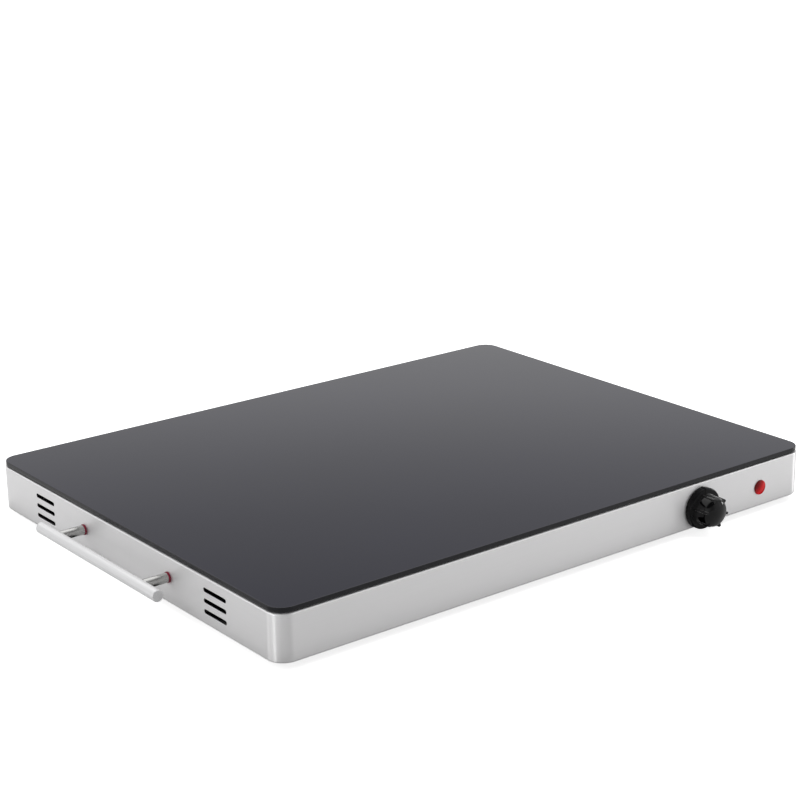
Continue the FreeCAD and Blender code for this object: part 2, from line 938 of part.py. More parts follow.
def make_lamp_plug():
    # A plug in the mouth of the barrel carries the neon lamp.
    start = V(lens_x, y_front + lens_barrel, lens_z)
    cap = rod(start, Y_AXIS, lens_barrel_radius, lamp_plug_length / 2)
    spigot = rod(start, V(0, -1, 0), lens_barrel_radius - lens_wall - slip_clearance,
                 lamp_plug_length / 2)
    bore = rod(V(lens_x, y_front, lens_z), Y_AXIS, lamp_radius + slip_clearance,
               lens_barrel + lamp_plug_length / 2 - lamp_plug_wall)
    plug = cap.fuse(spigot).cut(bore).removeSplitter()
    holes = [rod(V(lens_x + s * lamp_lead_step(), y_front, lens_z), Y_AXIS,
                 lamp_wire_radius, lens_barrel + lamp_plug_length) for s in (-1, 1)]
    return plug.cut(holes)


def lamp_lead_step():
    return lamp_lead_radius + running_gap


def make_neon_lamp():
    end = y_front + lens_barrel + lamp_plug_length / 2 - lamp_plug_wall
    start = max(end - lamp_length, y_front + lens_wall + running_gap)
    tube_end = V(lens_x, start + lamp_radius, lens_z)
    lamp = rod(tube_end, Y_AXIS, lamp_radius, end - tube_end.y)
    return lamp.fuse(Part.makeSphere(lamp_radius, tube_end)).removeSplitter()


# Heater stack

def heater_sheet(z, thickness, inset=0.0):
    radius = max(corner_radius - inset, least_corner)
    return rounded_block(heater_x - 2 * inset, heater_y - 2 * inset, radius, z, thickness)


def terminal_holes(radius, z, thickness):
    return [rod(V(x, y, z - over_cut), Z_AXIS, radius, thickness + 2 * over_cut)
            for x, y in terminal_points()]


def make_mica_sheets():
    upper = heater_sheet(z_mica_top, mica_thickness, mica_inset)
    lower = heater_sheet(z_mica_low, mica_thickness, mica_inset)
    hole = terminal_pin_radius + hole_clearance
    return [upper, lower.cut(terminal_holes(hole, z_mica_low, mica_thickness))]


def make_ribbon():
    # One flat strip runs to and fro, with round returns.
    span = heater_y - 2 * ribbon_margin
    pitch = span / (ribbon_runs - 1)
    reach = heater_x / 2 - ribbon_margin
    turn = reach - pitch / 2 - ribbon_width / 2
    half = ribbon_width / 2
    y0 = case_y - span / 2
    pieces = []
    for i in range(ribbon_runs):
        y = y0 + i * pitch
        left = -reach if i in (0, ribbon_runs - 1) else -turn
        pieces.append(box(left, turn, y - half, y + half, z_ribbon, z_mica_top))
    for i in range(ribbon_runs - 1):
        side = 1 if i % 2 == 0 else -1
        centre = V(side * turn, y0 + (i + 0.5) * pitch, z_ribbon)
        ring = pipe(centre, Z_AXIS, pitch / 2 + half, pitch / 2 - half, ribbon_thickness)
        x0, x1 = sorted((centre.x, centre.x + side * pitch))
        pieces.append(ring.common(box(x0, x1, centre.y - pitch, centre.y + pitch,
                                      z_ribbon, z_mica_top)))
    return pieces[0].fuse(pieces[1:]).removeSplitter()


def make_heater_terminals():
    bottom = z_shield - terminal_pin_drop
    pins = []
    for x, y in terminal_points():
        pin = rod(V(x, y, bottom), Z_AXIS, terminal_pin_radius, z_ribbon - bottom)
        pins.append(pin)
    return pins


def make_terminal_bushes():
    height = mat_thickness + shield_thickness + terminal_bush_drop
    bushes = []
    for x, y in terminal_points():
        start = V(x, y, z_mica_low - height)
        bush = pipe(start, Z_AXIS, terminal_bush_radius, terminal_pin_radius + hole_clearance / 2,
                    height)
        bushes.append(bush)
    return bushes


def make_insulation_mat():
    mat = heater_sheet(z_mat, mat_thickness, shield_thickness + running_gap)
    cuts = terminal_holes(terminal_bush_radius + hole_clearance, z_mat, mat_thickness)
    for x, y in standoff_points() + cutout_screw_points():
        cuts.append(rod(V(x, y, z_mat - over_cut), Z_AXIS, screw_radius + hole_clearance,
                        mat_thickness + 2 * over_cut))
    return mat.cut(cuts)


def make_heat_shield():
    tray = heater_sheet(z_shield, shield_rim)
    hollow = heater_sheet(z_mat, shield_rim, shield_thickness)
    tray = tray.cut(hollow)
    cuts = terminal_holes(terminal_bush_radius + hole_clearance, z_shield, shield_thickness)
    shank = screw_radius + hole_clearance / 2
    for x, y in standoff_points() + cutout_screw_points():
        cuts.append(rod(V(x, y, z_shield - over_cut), Z_AXIS, shank,
                        shield_thickness + 2 * over_cut))
    return tray.cut(cuts)


def make_standoffs():
    return [pipe(V(x, y, z_floor), Z_AXIS, standoff_radius, screw_radius + hole_clearance / 2,
                 z_shield - z_floor) for x, y in standoff_points()]


def make_standoff_screws():
    # Long screws from below clamp the heater stack against the glass.
    length = base_thickness + z_shield - z_floor + shield_thickness + screw_spare
    return [screw(V(x, y, z_base), Z_AXIS, screw_radius, length, screw_head_radius,
                  screw_head_height) for x, y in standoff_points()]


# Thermal cut-out

def cutout_centre():
    return V(cutout_place_x, case_y + cutout_place_y, z_shield)


def cutout_screw_points():
    c = cutout_centre()
    step = cutout_plate_length / 2 - cutout_screw_inset
    return [(c.x - step, c.y), (c.x + step, c.y)]


def make_cutout():
    c = cutout_centre()
    cap = rod(c - V(0, 0, cutout_cap), Z_AXIS, cutout_radius, cutout_cap)
    neck = rod(c - V(0, 0, cutout_height), Z_AXIS, cutout_radius - cutout_rim, cutout_height)
    body = cap.fuse(neck)
    for s in (-1, 1):
        x = c.x + s * cutout_radius / 3
        tab = box(x - cutout_tab_thickness / 2, x + cutout_tab_thickness / 2,
                  c.y - cutout_tab_width / 2, c.y + cutout_tab_width / 2,
                  c.z - cutout_height - cutout_tab, c.z - cutout_height)
        body = body.fuse(tab)
    return body.removeSplitter()


def make_cutout_clip():
    # A strap under the cap's rim, with a foot at each end up to the shield.
    c = cutout_centre()
    low = c.z - cutout_cap - cutout_plate_thickness
    a = cutout_plate_length / 2
    b = cutout_plate_width / 2
    strap = box(c.x - a, c.x + a, c.y - b, c.y + b, low, low + cutout_plate_thickness)
    for side in ((c.x - a, c.x - a + cutout_foot), (c.x + a - cutout_foot, c.x + a)):
        strap = strap.fuse(box(side[0], side[1], c.y - b, c.y + b, low, c.z))
    opening = cutout_radius - cutout_rim + hole_clearance
    strap = strap.cut(rod(V(c.x, c.y, low - over_cut), Z_AXIS, opening,
                          cutout_plate_thickness + 2 * over_cut))
    shank = screw_radius + hole_clearance
    holes = [rod(V(x, y, low - over_cut), Z_AXIS, shank, c.z - low + 2 * over_cut)
             for x, y in cutout_screw_points()]
    return strap.cut(holes).removeSplitter()


def make_cutout_screws():
    low = z_shield - cutout_cap - cutout_plate_thickness
    length = z_shield - low + shield_thickness + screw_spare
    return [screw(V(x, y, low), Z_AXIS, screw_radius, length, screw_head_radius,
                  screw_head_height) for x, y in cutout_screw_points()]


# Terminal block

def block_centre():
    return V(half_x - block_from_right, case_y + block_place_y, z_floor)


def block_length():
    return block_pole * block_poles + block_ends


def block_screw_points():
    c = block_centre()
    return [(c.x, c.y)]


def pole_y(i):
    return block_centre().y + (i - (block_poles - 1) / 2) * block_pole


def block_entry(side, pole, wire):
    # Where a lead goes in: side -1 left, 1 right; wire -1, 0 or 1 at the pole.
    c = block_centre()
    y = pole_y(pole) + wire * block_wire_spacing / 2
    return V(c.x + side * block_width / 2, y, z_floor + block_height / 2)


def make_terminal_block():
    c = block_centre()
    body = box(c.x - block_width / 2, c.x + block_width / 2, c.y - block_length() / 2,
               c.y + block_length() / 2, c.z, c.z + block_height)
    cuts = [rod(c - V(0, 0, over_cut), Z_AXIS, screw_radius + hole_clearance,
                block_height + 2 * over_cut),
            rod(c + V(0, 0, block_height - block_well_depth), Z_AXIS,
                screw_head_radius + hole_clearance, block_height)]
    for pole in range(block_poles):
        for side, wire in ((-1, 0), (1, -1), (1, 1)):
            entry = block_entry(side, pole, wire)
            cuts.append(rod(entry, V(-side, 0, 0), lead_radius + hole_clearance, block_entry_depth))
        for side in (-1, 1):
            well = V(c.x + side * block_well_place, pole_y(pole), c.z + block_height)
            cuts.append(rod(well, V(0, 0, -1), block_grub_radius + hole_clearance,
                            block_well_depth))
    return body.cut(cuts)


def make_block_screws():
    # The grub screws of the poles, seen in their wells, and the fixing screw.
    c = block_centre()
    screws = []
    r = block_grub_radius
    for pole in range(block_poles):
        for side in (-1, 1):
            start = V(c.x + side * block_well_place, pole_y(pole),
                      c.z + block_height - block_well_depth)
            grub = rod(start, Z_AXIS, r, r)
            cut = box(start.x - r, start.x + r, start.y - recess_width / 2,
                      start.y + recess_width / 2, start.z + r / 2, start.z + r)
            screws.append(grub.cut(cut))
    seat = c + V(0, 0, block_height - block_well_depth)
    length = block_height - block_well_depth + base_thickness + screw_spare
    screws.append(screw(seat, V(0, 0, -1), screw_radius, length, screw_head_radius,
                        screw_head_height))
    return screws


# Mains inlet, a three-pin appliance socket in the back wall

def inlet_outline(grow, y, depth):
    # The socket's outline has its two lower corners cut off.
    a = inlet_width / 2 + grow
    b = inlet_tall / 2 + grow
    c = inlet_corner
    points = [V(-a, y, b), V(a, y, b), V(a, y, c - b), V(a - c, y, -b), V(c - a, y, -b),
              V(-a, y, c - b), V(-a, y, b)]
    face = Part.Face(Part.makePolygon([p + V(inlet_x, 0, inlet_z) for p in points]))
    return face.extrude(V(0, depth, 0))


def make_inlet():
    flange = rounded_face(0, 0, inlet_flange_width, inlet_flange_height, inlet_flange_corner, 0)
    flange = flange.extrude(V(0, 0, inlet_flange))
    flange = place(flange, V(inlet_x, y_back, inlet_z), Y_AXIS)
    body = inlet_outline(0, y_back - inlet_depth, inlet_depth)
    room = inlet_outline(-inlet_wall, y_back - inlet_depth + inlet_floor, inlet_depth)
    shape = flange.fuse(body).cut(room)
    cuts = []
    for s in (-1, 1):
        start = V(inlet_x + s * inlet_screw_spacing / 2, y_back - over_cut, inlet_z)
        cuts.append(rod(start, Y_AXIS, screw_radius + hole_clearance,
                        inlet_flange + 2 * over_cut))
    for dx, dz in inlet_pin_places():
        cuts.append(inlet_pin_hole(dx, dz))
    return shape.cut(cuts).removeSplitter()


def inlet_pin_places():
    # Live, neutral and, above them, earth.
    return [(inlet_pin_spacing, -inlet_pin_rise / 2), (-inlet_pin_spacing, -inlet_pin_rise / 2),
            (0.0, inlet_pin_rise / 2 + inlet_earth_offset)]


def inlet_pin_hole(dx, dz):
    a = inlet_pin_thickness / 2 + thread_clearance
    b = inlet_pin_width / 2 + thread_clearance
    x = inlet_x + dx
    z = inlet_z + dz
    back = y_back - inlet_depth
    return box(x - a, x + a, back - over_cut, back + inlet_floor + over_cut, z - b, z + b)


def make_inlet_pins():
    pins = []
    back = y_back - inlet_depth
    tail = back - inlet_pin_tail
    a = inlet_pin_thickness / 2
    b = inlet_pin_width / 2
    t = inlet_tab_thickness / 2
    for dx, dz in inlet_pin_places():
        x = inlet_x + dx
        z = inlet_z + dz
        blade_end = back + inlet_floor + inlet_pin_reach
        pin = box(x - a, x + a, tail, blade_end, z - b, z + b)
        tab = box(x - t, x + t, tail - inlet_tab_length, tail, z - b, z + b)
        pins.append(pin.fuse(tab).removeSplitter())
    return pins


def inlet_tab_end(i):
    dx, dz = inlet_pin_places()[i]
    y = y_back - inlet_depth - inlet_pin_tail - inlet_tab_length
    return V(inlet_x + dx, y, inlet_z + dz)


def make_inlet_screws():
    seat = y_back + inlet_flange
    length = inlet_flange + sheet + nut_height + screw_spare
    return [screw(V(inlet_x + s * inlet_screw_spacing / 2, seat, inlet_z), V(0, -1, 0),
                  screw_radius, length, screw_head_radius, screw_head_height) for s in (-1, 1)]


def make_inlet_nuts():
    return [hexagon(V(inlet_x + s * inlet_screw_spacing / 2, y_back_in, inlet_z), V(0, -1, 0),
                    nut_across_flats, nut_height, screw_radius + hole_clearance / 2)
            for s in (-1, 1)]


# Leads

def lead(name, points, radius):
    # Straight runs joined by tangent arcs, as large as the runs allow.
    edges = []
    least = None
    last = points[0]
    length = 0.0
    for i in range(1, len(points) - 1):
        a = points[i] - points[i - 1]
        b = points[i + 1] - points[i]
        turn = a.getAngle(b)
        if turn < 1e-4:
            continue
        reach = 0.45 * min(a.Length, b.Length)
        bend = reach / math.tan(turn / 2)
        least = bend if least is None else min(least, bend)
        start = points[i] - a.normalize() * reach
        end = points[i] + b.normalize() * reach
        middle = (start + end) / 2 - points[i]
        out = points[i] + middle.normalize() * (bend / math.cos(turn / 2) - bend)
        edges.append(Part.LineSegment(last, start).toShape())
        edges.append(Part.Arc(start, out, end).toShape())
        length += (start - last).Length + bend * turn
        last = end
    edges.append(Part.LineSegment(last, points[-1]).toShape())
    length += (points[-1] - last).Length
    path = Part.Wire(edges)
    heading = points[1] - points[0]
    section = Part.Wire(Part.Circle(points[0], heading, radius).toShape())
    tube = path.makePipeShell([section], True, False)
    expected = math.pi * radius ** 2 * length
    print("  route", name, "length", round(length, 1), "least bend", round(least, 1),
          "volume ratio", round(tube.Volume / expected, 4))
    return tube


def z_lead():
    # The leads lie on the base plate.
    return z_floor + lead_radius + running_gap


def earth_point():
    return V(half_x - earth_from_right, y_back - earth_from_back, z_floor)


def inlet_clip_point():
    # The screw of the clip that holds the live lead.
    return inlet_clip_seat() - V(clip_foot(), 0, 0)


def inlet_clip_seat():
    return V(inlet_x + live_clip_side, case_y + live_clip_place, z_floor)


def block_clip_point():
    # The screw of the clip that holds the two heater leads.
    return block_clip_seat() + V(0, clip_foot() + clip_gap(), 0)


def block_clip_seat():
    c = block_centre()
    return V(c.x - heater_clip_reach, c.y, z_floor)


def make_earth_tag():
    # A ring tag on the base plate, cranked up to meet the earth lead.
    p = earth_point()
    half = earth_tag_width / 2
    t = earth_tag_thickness
    rise = lead_radius
    end = p.y + half + earth_tag_flat
    flat = box(p.x - half, p.x + half, p.y, end, p.z, p.z + t)
    flat = flat.fuse(rod(p, Z_AXIS, half, t))
    crank = box(p.x - half, p.x + half, end - t, end, p.z, p.z + rise + t)
    tail = box(p.x - half, p.x + half, end - t, p.y + earth_tag_length, p.z + rise,
               p.z + rise + t)
    tag = flat.fuse([crank, tail])
    hole = rod(p - V(0, 0, over_cut), Z_AXIS, screw_radius + hole_clearance, t + 2 * over_cut)
    return tag.cut(hole).removeSplitter()


def earth_tag_end():
    p = earth_point()
    return V(p.x, p.y + earth_tag_length, p.z + lead_radius + earth_tag_thickness / 2)


def make_earth_screw():
    seat = earth_point() + V(0, 0, earth_tag_thickness)
    length = earth_tag_thickness + base_thickness + screw_spare
    return screw(seat, V(0, 0, -1), screw_radius, length, screw_head_radius, screw_head_height)


def clip_foot():
    # How far the middle of a clip's foot lies from its screw.
    return screw_head_radius + lead_radius + clip_wall + clip_margin


def lead_clip(centre, offsets, direction):
    # A saddle with one channel for each lead, and a foot with a screw hole.
    wall = lead_radius + clip_wall
    rise = z_lead() - z_floor
    low = min(offsets) - wall
    high = max(offsets) + wall
    half = clip_width / 2
    shape = box(low, high, -half, half, 0, rise + wall)
    edges = [e for e in level_edges(shape, rise + wall)
             if abs(e.Vertexes[0].X - e.Vertexes[1].X) < 1e-6]
    shape = shape.makeFillet(clip_wall, edges)
    foot_reach = 2 * (screw_head_radius + clip_margin)
    shape = shape.fuse(box(low - foot_reach, low, -half, half, 0, clip_wall))
    bore = lead_radius + hole_clearance
    for offset in offsets:
        shape = shape.cut(rod(V(offset, -clip_width, rise), Y_AXIS, bore, 2 * clip_width))
        shape = shape.cut(box(offset - bore, offset + bore, -clip_width, clip_width, -over_cut,
                              rise))
    hole = V(low - foot_reach / 2, 0, -over_cut)
    shape = shape.cut(rod(hole, Z_AXIS, screw_radius + hole_clearance, clip_wall + 2 * over_cut))
    shape = shape.removeSplitter()
    shape.rotate(V(0, 0, 0), Z_AXIS, direction)
    shape.translate(centre)
    return shape


def make_lead_clips():
    gap = clip_gap()
    return [lead_clip(inlet_clip_seat(), [0.0], 0),
            lead_clip(block_clip_seat(), [-gap, gap], -90)]


def make_lead_clip_screws():
    length = clip_wall + base_thickness + screw_spare
    return [screw(point + V(0, 0, clip_wall), V(0, 0, -1), screw_radius, length,
                  screw_head_radius, screw_head_height)
            for point in (inlet_clip_point(), block_clip_point())]


def thermostat_tab(which):
    # The left ends of the leaf's root and of the fixed strip.
    y = y_leaf() if which == 0 else y_bimetal()
    x = stack_x() - stack_radius - blade_overhang - blade_tab
    return V(x, y + blade_thickness / 2, knob_z)


def cutout_tab_end(side):
    c = cutout_centre()
    return V(c.x + side * cutout_radius / 3, c.y, c.z - cutout_height - cutout_tab)


def route_live():
    start = inlet_tab_end(0)
    end = thermostat_tab(1)
    clip = clip_seat(inlet_clip_seat())
    low = z_lead()
    return [start, start - V(0, 12, 0), V(clip.x, clip.y + 62, low + 4),
            V(clip.x, clip.y + 22, low), V(clip.x, clip.y - 18, low),
            V(clip.x - 7, clip.y - 58, low), V(clip.x - 12, clip.y - 100, low),
            V(clip.x - 26, clip.y - 138, low), V(clip.x - 52, clip.y - 168, low + 1),
            V(end.x + 12, end.y + 30, low + 3), V(end.x - 10, end.y + 24, end.z - 7),
            V(end.x - 22, end.y + 9, end.z - 2), V(end.x - 12, end.y, end.z), end]


def route_neutral():
    start = inlet_tab_end(1)
    end = block_entry(1, 1, 1)
    low = z_lead()
    return [start, start - V(0, 14, 0), V(start.x - 4, start.y - 46, low + 3),
            V((start.x + end.x) / 2 + 14, (start.y + end.y) / 2 + 22, low),
            V(end.x + 28, end.y + 40, low), V(end.x + 22, end.y + 12, end.z - 2),
            V(end.x + 11, end.y, end.z), end]


def route_earth():
    start = inlet_tab_end(2)
    end = earth_tag_end()
    return [start, start - V(0, 12, 0), V(start.x + 10, (start.y + end.y) / 2 + 4, end.z + 6),
            V(end.x, end.y + 12, end.z), end]


def route_switched():
    start = thermostat_tab(0)
    end = cutout_tab_end(1)
    low = z_lead()
    return [start, start - V(16, 0, 0), V(start.x - 34, start.y + 7, start.z - 5),
            V(start.x - 46, start.y + 32, low + 2),
            V((start.x + end.x) / 2 + 2, (start.y + end.y) / 2 + 20, low),
            V(end.x + 20, end.y - 22, low), V(end.x + 6, end.y - 5, low + 1),
            V(end.x, end.y, end.z - 7), end]


def route_cutout():
    start = cutout_tab_end(-1)
    end = block_entry(1, 0, -1)
    low = z_lead()
    return [start, start - V(0, 0, 7), V(start.x + 2, start.y + 10, low + 1),
            V(start.x + 18, start.y + 26, low), V(start.x + 56, start.y + 18, low),
            V(end.x - 8, end.y - 34, low), V(end.x + 22, end.y - 26, end.z - 4),
            V(end.x + 25, end.y - 8, end.z - 3), V(end.x + 11, end.y, end.z), end]


def route_heater(which):
    start = block_entry(-1, which, 0)
    x, y = terminal_points()[which]
    end = V(x, y, z_shield - terminal_pin_drop)
    low = z_lead()
    side = -1 if which == 0 else 1
    clip = clip_seat(block_clip_seat()) + V(0, side * clip_gap(), 0)
    span = clip.x - 20 - x
    points = [start, start - V(9, 0, 0), V(clip.x + 22, clip.y, low), V(clip.x - 20, clip.y, low)]
    steps = 7
    for i in range(1, steps):
        share = i / steps
        bow = math.sin(share * math.pi) * 12.0 * side
        rise = share * share * (3 - 2 * share)
        points.append(V(clip.x - 20 - span * share, clip.y + (y - clip.y) * rise + bow, low))
    points += [V(x + 6, y, low + 1), end - V(0, 0, 8), end]
    return points


def clip_gap():
    return block_pole / 2


def clip_seat(point):
    return V(point.x, point.y, z_lead())


def route_lamp(side):
    # The two lamp leads run above the live lead where they cross it.
    start = V(lens_x + side * lamp_lead_step(), y_front + lens_barrel + lamp_plug_length / 2,
              lens_z)
    end = block_entry(1, 0, 1) if side < 0 else block_entry(1, 1, -1)
    gap = side * 3.0
    high = lens_z - 4.0
    return [start, start + V(0, 10, 0), start + V(gap - 3, 34, -2),
            V(start.x - 14 + gap, start.y + 72, high),
            V(end.x + 48 + gap, end.y - 44 + gap, high - 1),
            V(end.x + 32 + gap, end.y - 12, end.z + 5), V(end.x + 12, end.y, end.z), end]


def main():
    os.makedirs("parts", exist_ok=True)
    save("casing_band", make_casing_band())
    save("glass_top", make_glass())
    save("glass_seal", make_seal())
    save("base_plate", make_base_plate())
    save("base_screws", group(make_base_screws()))
    save("rubber_feet", group(make_feet()))
    save("feet_screws", group(make_feet_screws()))
    save("small_nuts", group(make_feet_nuts() + make_inlet_nuts()))
    for name, side in (("left", -1), ("right", 1)):
        save("handle_bar_" + name, make_handle_bar(side))
    save("handle_posts", group(make_handle_posts()))
    save("handle_washers", group(make_handle_washers()))
    save("handle_backing_washers", group(make_backing_washers()))
    save("handle_screws", group(make_handle_screws()))
    save("control_knob", make_knob())
    save("knob_spring_clip", make_knob_clip())
    save("thermostat_shaft", make_shaft())
    save("thermostat_bush", make_bush())
    save("thermostat_nut", make_bush_nut())
    save("thermostat_frame", make_thermostat_frame())
    save("thermostat_insulators", group(make_insulators()))
    save("thermostat_rivet", make_stack_rivet())
    save("adjuster_pin", make_adjuster_pin())
    save("contact_leaf", make_leaf())
    save("contact_leaf_root", make_leaf_root())
    save("moving_contact", make_moving_contact())
    save("fixed_contact", make_fixed_contact())
    save("fixed_contact_strip", make_fixed_strip())
    save("bimetal_blade", make_bimetal_blade())
    save("indicator_lens", make_lens())
    save("lens_ring", make_lens_ring())
    save("neon_lamp", make_neon_lamp())
    save("lamp_plug", make_lamp_plug())
    save("spreader_plate", heater_sheet(z_spreader, spreader_thickness))
    save("heating_ribbon", make_ribbon())
    save("mica_sheets", group(make_mica_sheets()))
    save("heater_terminals", group(make_heater_terminals()))
    save("terminal_bushes", group(make_terminal_bushes()))
    save("insulation_mat", make_insulation_mat())
    save("heat_shield", make_heat_shield())
    save("heater_standoffs", group(make_standoffs()))
    save("standoff_screws", group(make_standoff_screws()))
    save("thermal_cutout", make_cutout())
    save("cutout_strap", make_cutout_clip())
    save("cutout_screws", group(make_cutout_screws()))
    save("terminal_block", make_terminal_block())
    save("terminal_block_screws", group(make_block_screws()))
    save("power_inlet", make_inlet())
    save("inlet_pins", group(make_inlet_pins()))
    save("inlet_screws", group(make_inlet_screws()))
    save("earth_tag", make_earth_tag())
    save("earth_screw", make_earth_screw())
    save("lead_clips", group(make_lead_clips()))
    save("lead_clip_screws", group(make_lead_clip_screws()))
    live = [lead("live", route_live(), lead_radius),
            lead("switched", route_switched(), lead_radius),
            lead("cut-out", route_cutout(), lead_radius)]
    save("live_leads", group(live))
    save("neutral_lead", lead("neutral", route_neutral(), lead_radius))
    save("earth_lead", lead("earth", route_earth(), lead_radius))
    heater_leads = [lead("heater", route_heater(i), lead_radius) for i in range(2)]
    save("heater_leads", group(heater_leads))
    save("lamp_leads", group([lead("lamp", route_lamp(s), lamp_lead_radius) for s in (-1, 1)]))


main()
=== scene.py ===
import bmesh
import bpy
import json
import math
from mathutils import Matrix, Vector


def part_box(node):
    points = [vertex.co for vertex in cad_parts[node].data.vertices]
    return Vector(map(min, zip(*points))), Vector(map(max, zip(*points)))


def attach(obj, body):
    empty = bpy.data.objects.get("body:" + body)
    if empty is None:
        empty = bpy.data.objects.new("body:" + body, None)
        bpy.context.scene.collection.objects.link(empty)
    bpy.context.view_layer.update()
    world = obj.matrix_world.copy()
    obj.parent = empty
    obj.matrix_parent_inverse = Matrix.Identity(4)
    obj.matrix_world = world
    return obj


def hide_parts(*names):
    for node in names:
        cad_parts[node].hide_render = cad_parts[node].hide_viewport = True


# Electric food warmer tray, dressed for the picture. Metres.

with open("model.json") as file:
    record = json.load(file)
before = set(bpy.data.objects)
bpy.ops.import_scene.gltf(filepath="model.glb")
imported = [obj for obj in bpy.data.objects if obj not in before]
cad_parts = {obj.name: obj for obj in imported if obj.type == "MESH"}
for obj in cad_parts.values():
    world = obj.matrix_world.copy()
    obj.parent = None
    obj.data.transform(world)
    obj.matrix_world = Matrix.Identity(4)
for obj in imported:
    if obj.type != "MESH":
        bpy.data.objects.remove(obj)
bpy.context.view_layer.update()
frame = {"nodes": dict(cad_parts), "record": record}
nodes = frame["nodes"]
mm = 0.001
print("frame loaded:", len(nodes), "nodes")


# Small helpers for working by hand with operators

def freshStart():
    if bpy.context.object and bpy.context.object.mode != "OBJECT":
        bpy.ops.object.mode_set(mode="OBJECT")
    bpy.ops.object.select_all(action="DESELECT")


def pick(*objs):
    freshStart()
    for obj in objs:
        obj.select_set(True)
    bpy.context.view_layer.objects.active = objs[0]


def settle(obj):
    pick(obj)
    bpy.ops.object.transform_apply(location=True, rotation=True, scale=True)
    return obj


def addBlock(low, high):
    freshStart()
    low = Vector(low)
    high = Vector(high)
    bpy.ops.mesh.primitive_cube_add(size=1, location=(low + high) / 2, scale=high - low)
    return settle(bpy.context.object)


def addRod(start, end, radius, sides=48):
    freshStart()
    start = Vector(start)
    run = Vector(end) - start
    turn = run.to_track_quat("Z", "Y").to_euler()
    bpy.ops.mesh.primitive_cylinder_add(vertices=sides, radius=radius, depth=run.length,
                                        location=start + run / 2, rotation=turn)
    return settle(bpy.context.object)


def choose(obj, kind, wanted):
    # Opens the mesh for editing with only the wanted edges or faces selected.
    pick(obj)
    bpy.ops.object.mode_set(mode="EDIT")
    bpy.ops.mesh.select_mode(type=kind)
    bpy.ops.mesh.select_all(action="DESELECT")
    mesh = bmesh.from_edit_mesh(obj.data)
    for part in mesh.edges if kind == "EDGE" else mesh.faces:
        if wanted(part):
            part.select = True
    mesh.select_flush_mode()
    bmesh.update_edit_mesh(obj.data)


def leaveEdit():
    bpy.ops.object.mode_set(mode="OBJECT")


def bevelEdges(obj, wanted, width, steps):
    choose(obj, "EDGE", wanted)
    bpy.ops.mesh.bevel(offset=width, segments=steps, affect="EDGES", clamp_overlap=True)
    leaveEdit()


def edgeRuns(edge):
    return (edge.verts[1].co - edge.verts[0].co).normalized()


def isUpright(edge):
    return abs(edgeRuns(edge).z) > 0.99


def betweenWallAndLid(edge):
    tilt = sorted(abs(face.normal.z) for face in edge.link_faces)
    return len(tilt) == 2 and tilt[0] < 0.3 and tilt[1] > 0.7


def isSharp(edge, limit=50):
    return len(edge.link_faces) == 2 and edge.calc_face_angle(0) > math.radians(limit)


def cutWith(obj, cutters, operation="DIFFERENCE"):
    pick(*cutters)
    if len(cutters) > 1:
        bpy.ops.object.join()
    cutter = bpy.context.object
    pick(obj)
    change = obj.modifiers.new("cut", "BOOLEAN")
    change.operation = operation
    change.solver = "EXACT"
    change.object = cutter
    bpy.ops.object.modifier_apply(modifier=change.name)
    bpy.data.objects.remove(cutter, do_unlink=True)


def smoothOver(obj, angle=35, weighted=True):
    pick(obj)
    bpy.ops.object.shade_smooth_by_angle(angle=math.radians(angle))
    if weighted:
        change = obj.modifiers.new("flat faces lead", "WEIGHTED_NORMAL")
        change.keep_sharp = True
        change.weight = 100
        bpy.ops.object.modifier_apply(modifier=change.name)


def closeUp(obj):
    pick(obj)
    bpy.ops.object.mode_set(mode="EDIT")
    bpy.ops.mesh.select_mode(type="VERT")
    bpy.ops.mesh.select_all(action="SELECT")
    bpy.ops.mesh.remove_doubles(threshold=1e-6)
    bpy.ops.mesh.normals_make_consistent(inside=False)
    leaveEdit()


def turnOnLathe(profile, centre, axis, steps=64):
    # The profile is a list of (radius, place along the axis). It turns about the axis.
    centre = Vector(centre)
    axis = Vector(axis).normalized()
    side = axis.orthogonal().normalized()
    freshStart()
    bpy.ops.mesh.primitive_plane_add(size=mm)
    obj = bpy.context.object
    bpy.ops.object.mode_set(mode="EDIT")
    bpy.ops.mesh.select_mode(type="VERT")
    bpy.ops.mesh.select_all(action="SELECT")
    bpy.ops.mesh.merge(type="CENTER")
    points = [centre + side * radius + axis * along for radius, along in profile]
    bpy.ops.transform.translate(value=points[0])
    for before, after in zip(points, points[1:]):
        bpy.ops.mesh.extrude_region_move(TRANSFORM_OT_translate={"value": after - before})
    bpy.ops.mesh.select_all(action="SELECT")
    bpy.ops.mesh.spin(steps=steps, angle=2 * math.pi, center=centre, axis=axis)
    leaveEdit()
    closeUp(obj)
    return obj


def roundCorner(centre, radius, start, end, steps):
    # Points of an arc for a lathe profile, from one angle to the other in degrees.
    points = []
    for i in range(steps + 1):
        angle = math.radians(start + (end - start) * i / steps)
        points.append((centre[0] + radius * math.cos(angle),
                       centre[1] + radius * math.sin(angle)))
    return points


def nameAs(obj, name, body, slot, material, *replaced):
    obj.name = name
    obj.data.name = name
    obj.data.materials.clear()
    obj.data.materials.append(material)
    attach(obj, body)
    if replaced:
        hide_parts(*replaced)
    return obj


# Materials. Each one starts from the same few nodes.

def startMaterial(name, colour, metallic, roughness):
    material = bpy.data.materials.new(name)
    material.use_nodes = True
    tree = material.node_tree
    shader = tree.nodes["Principled BSDF"]
    shader.inputs["Base Color"].default_value = (*colour, 1)
    shader.inputs["Metallic"].default_value = metallic
    shader.inputs["Roughness"].default_value = roughness
    return material, tree, shader


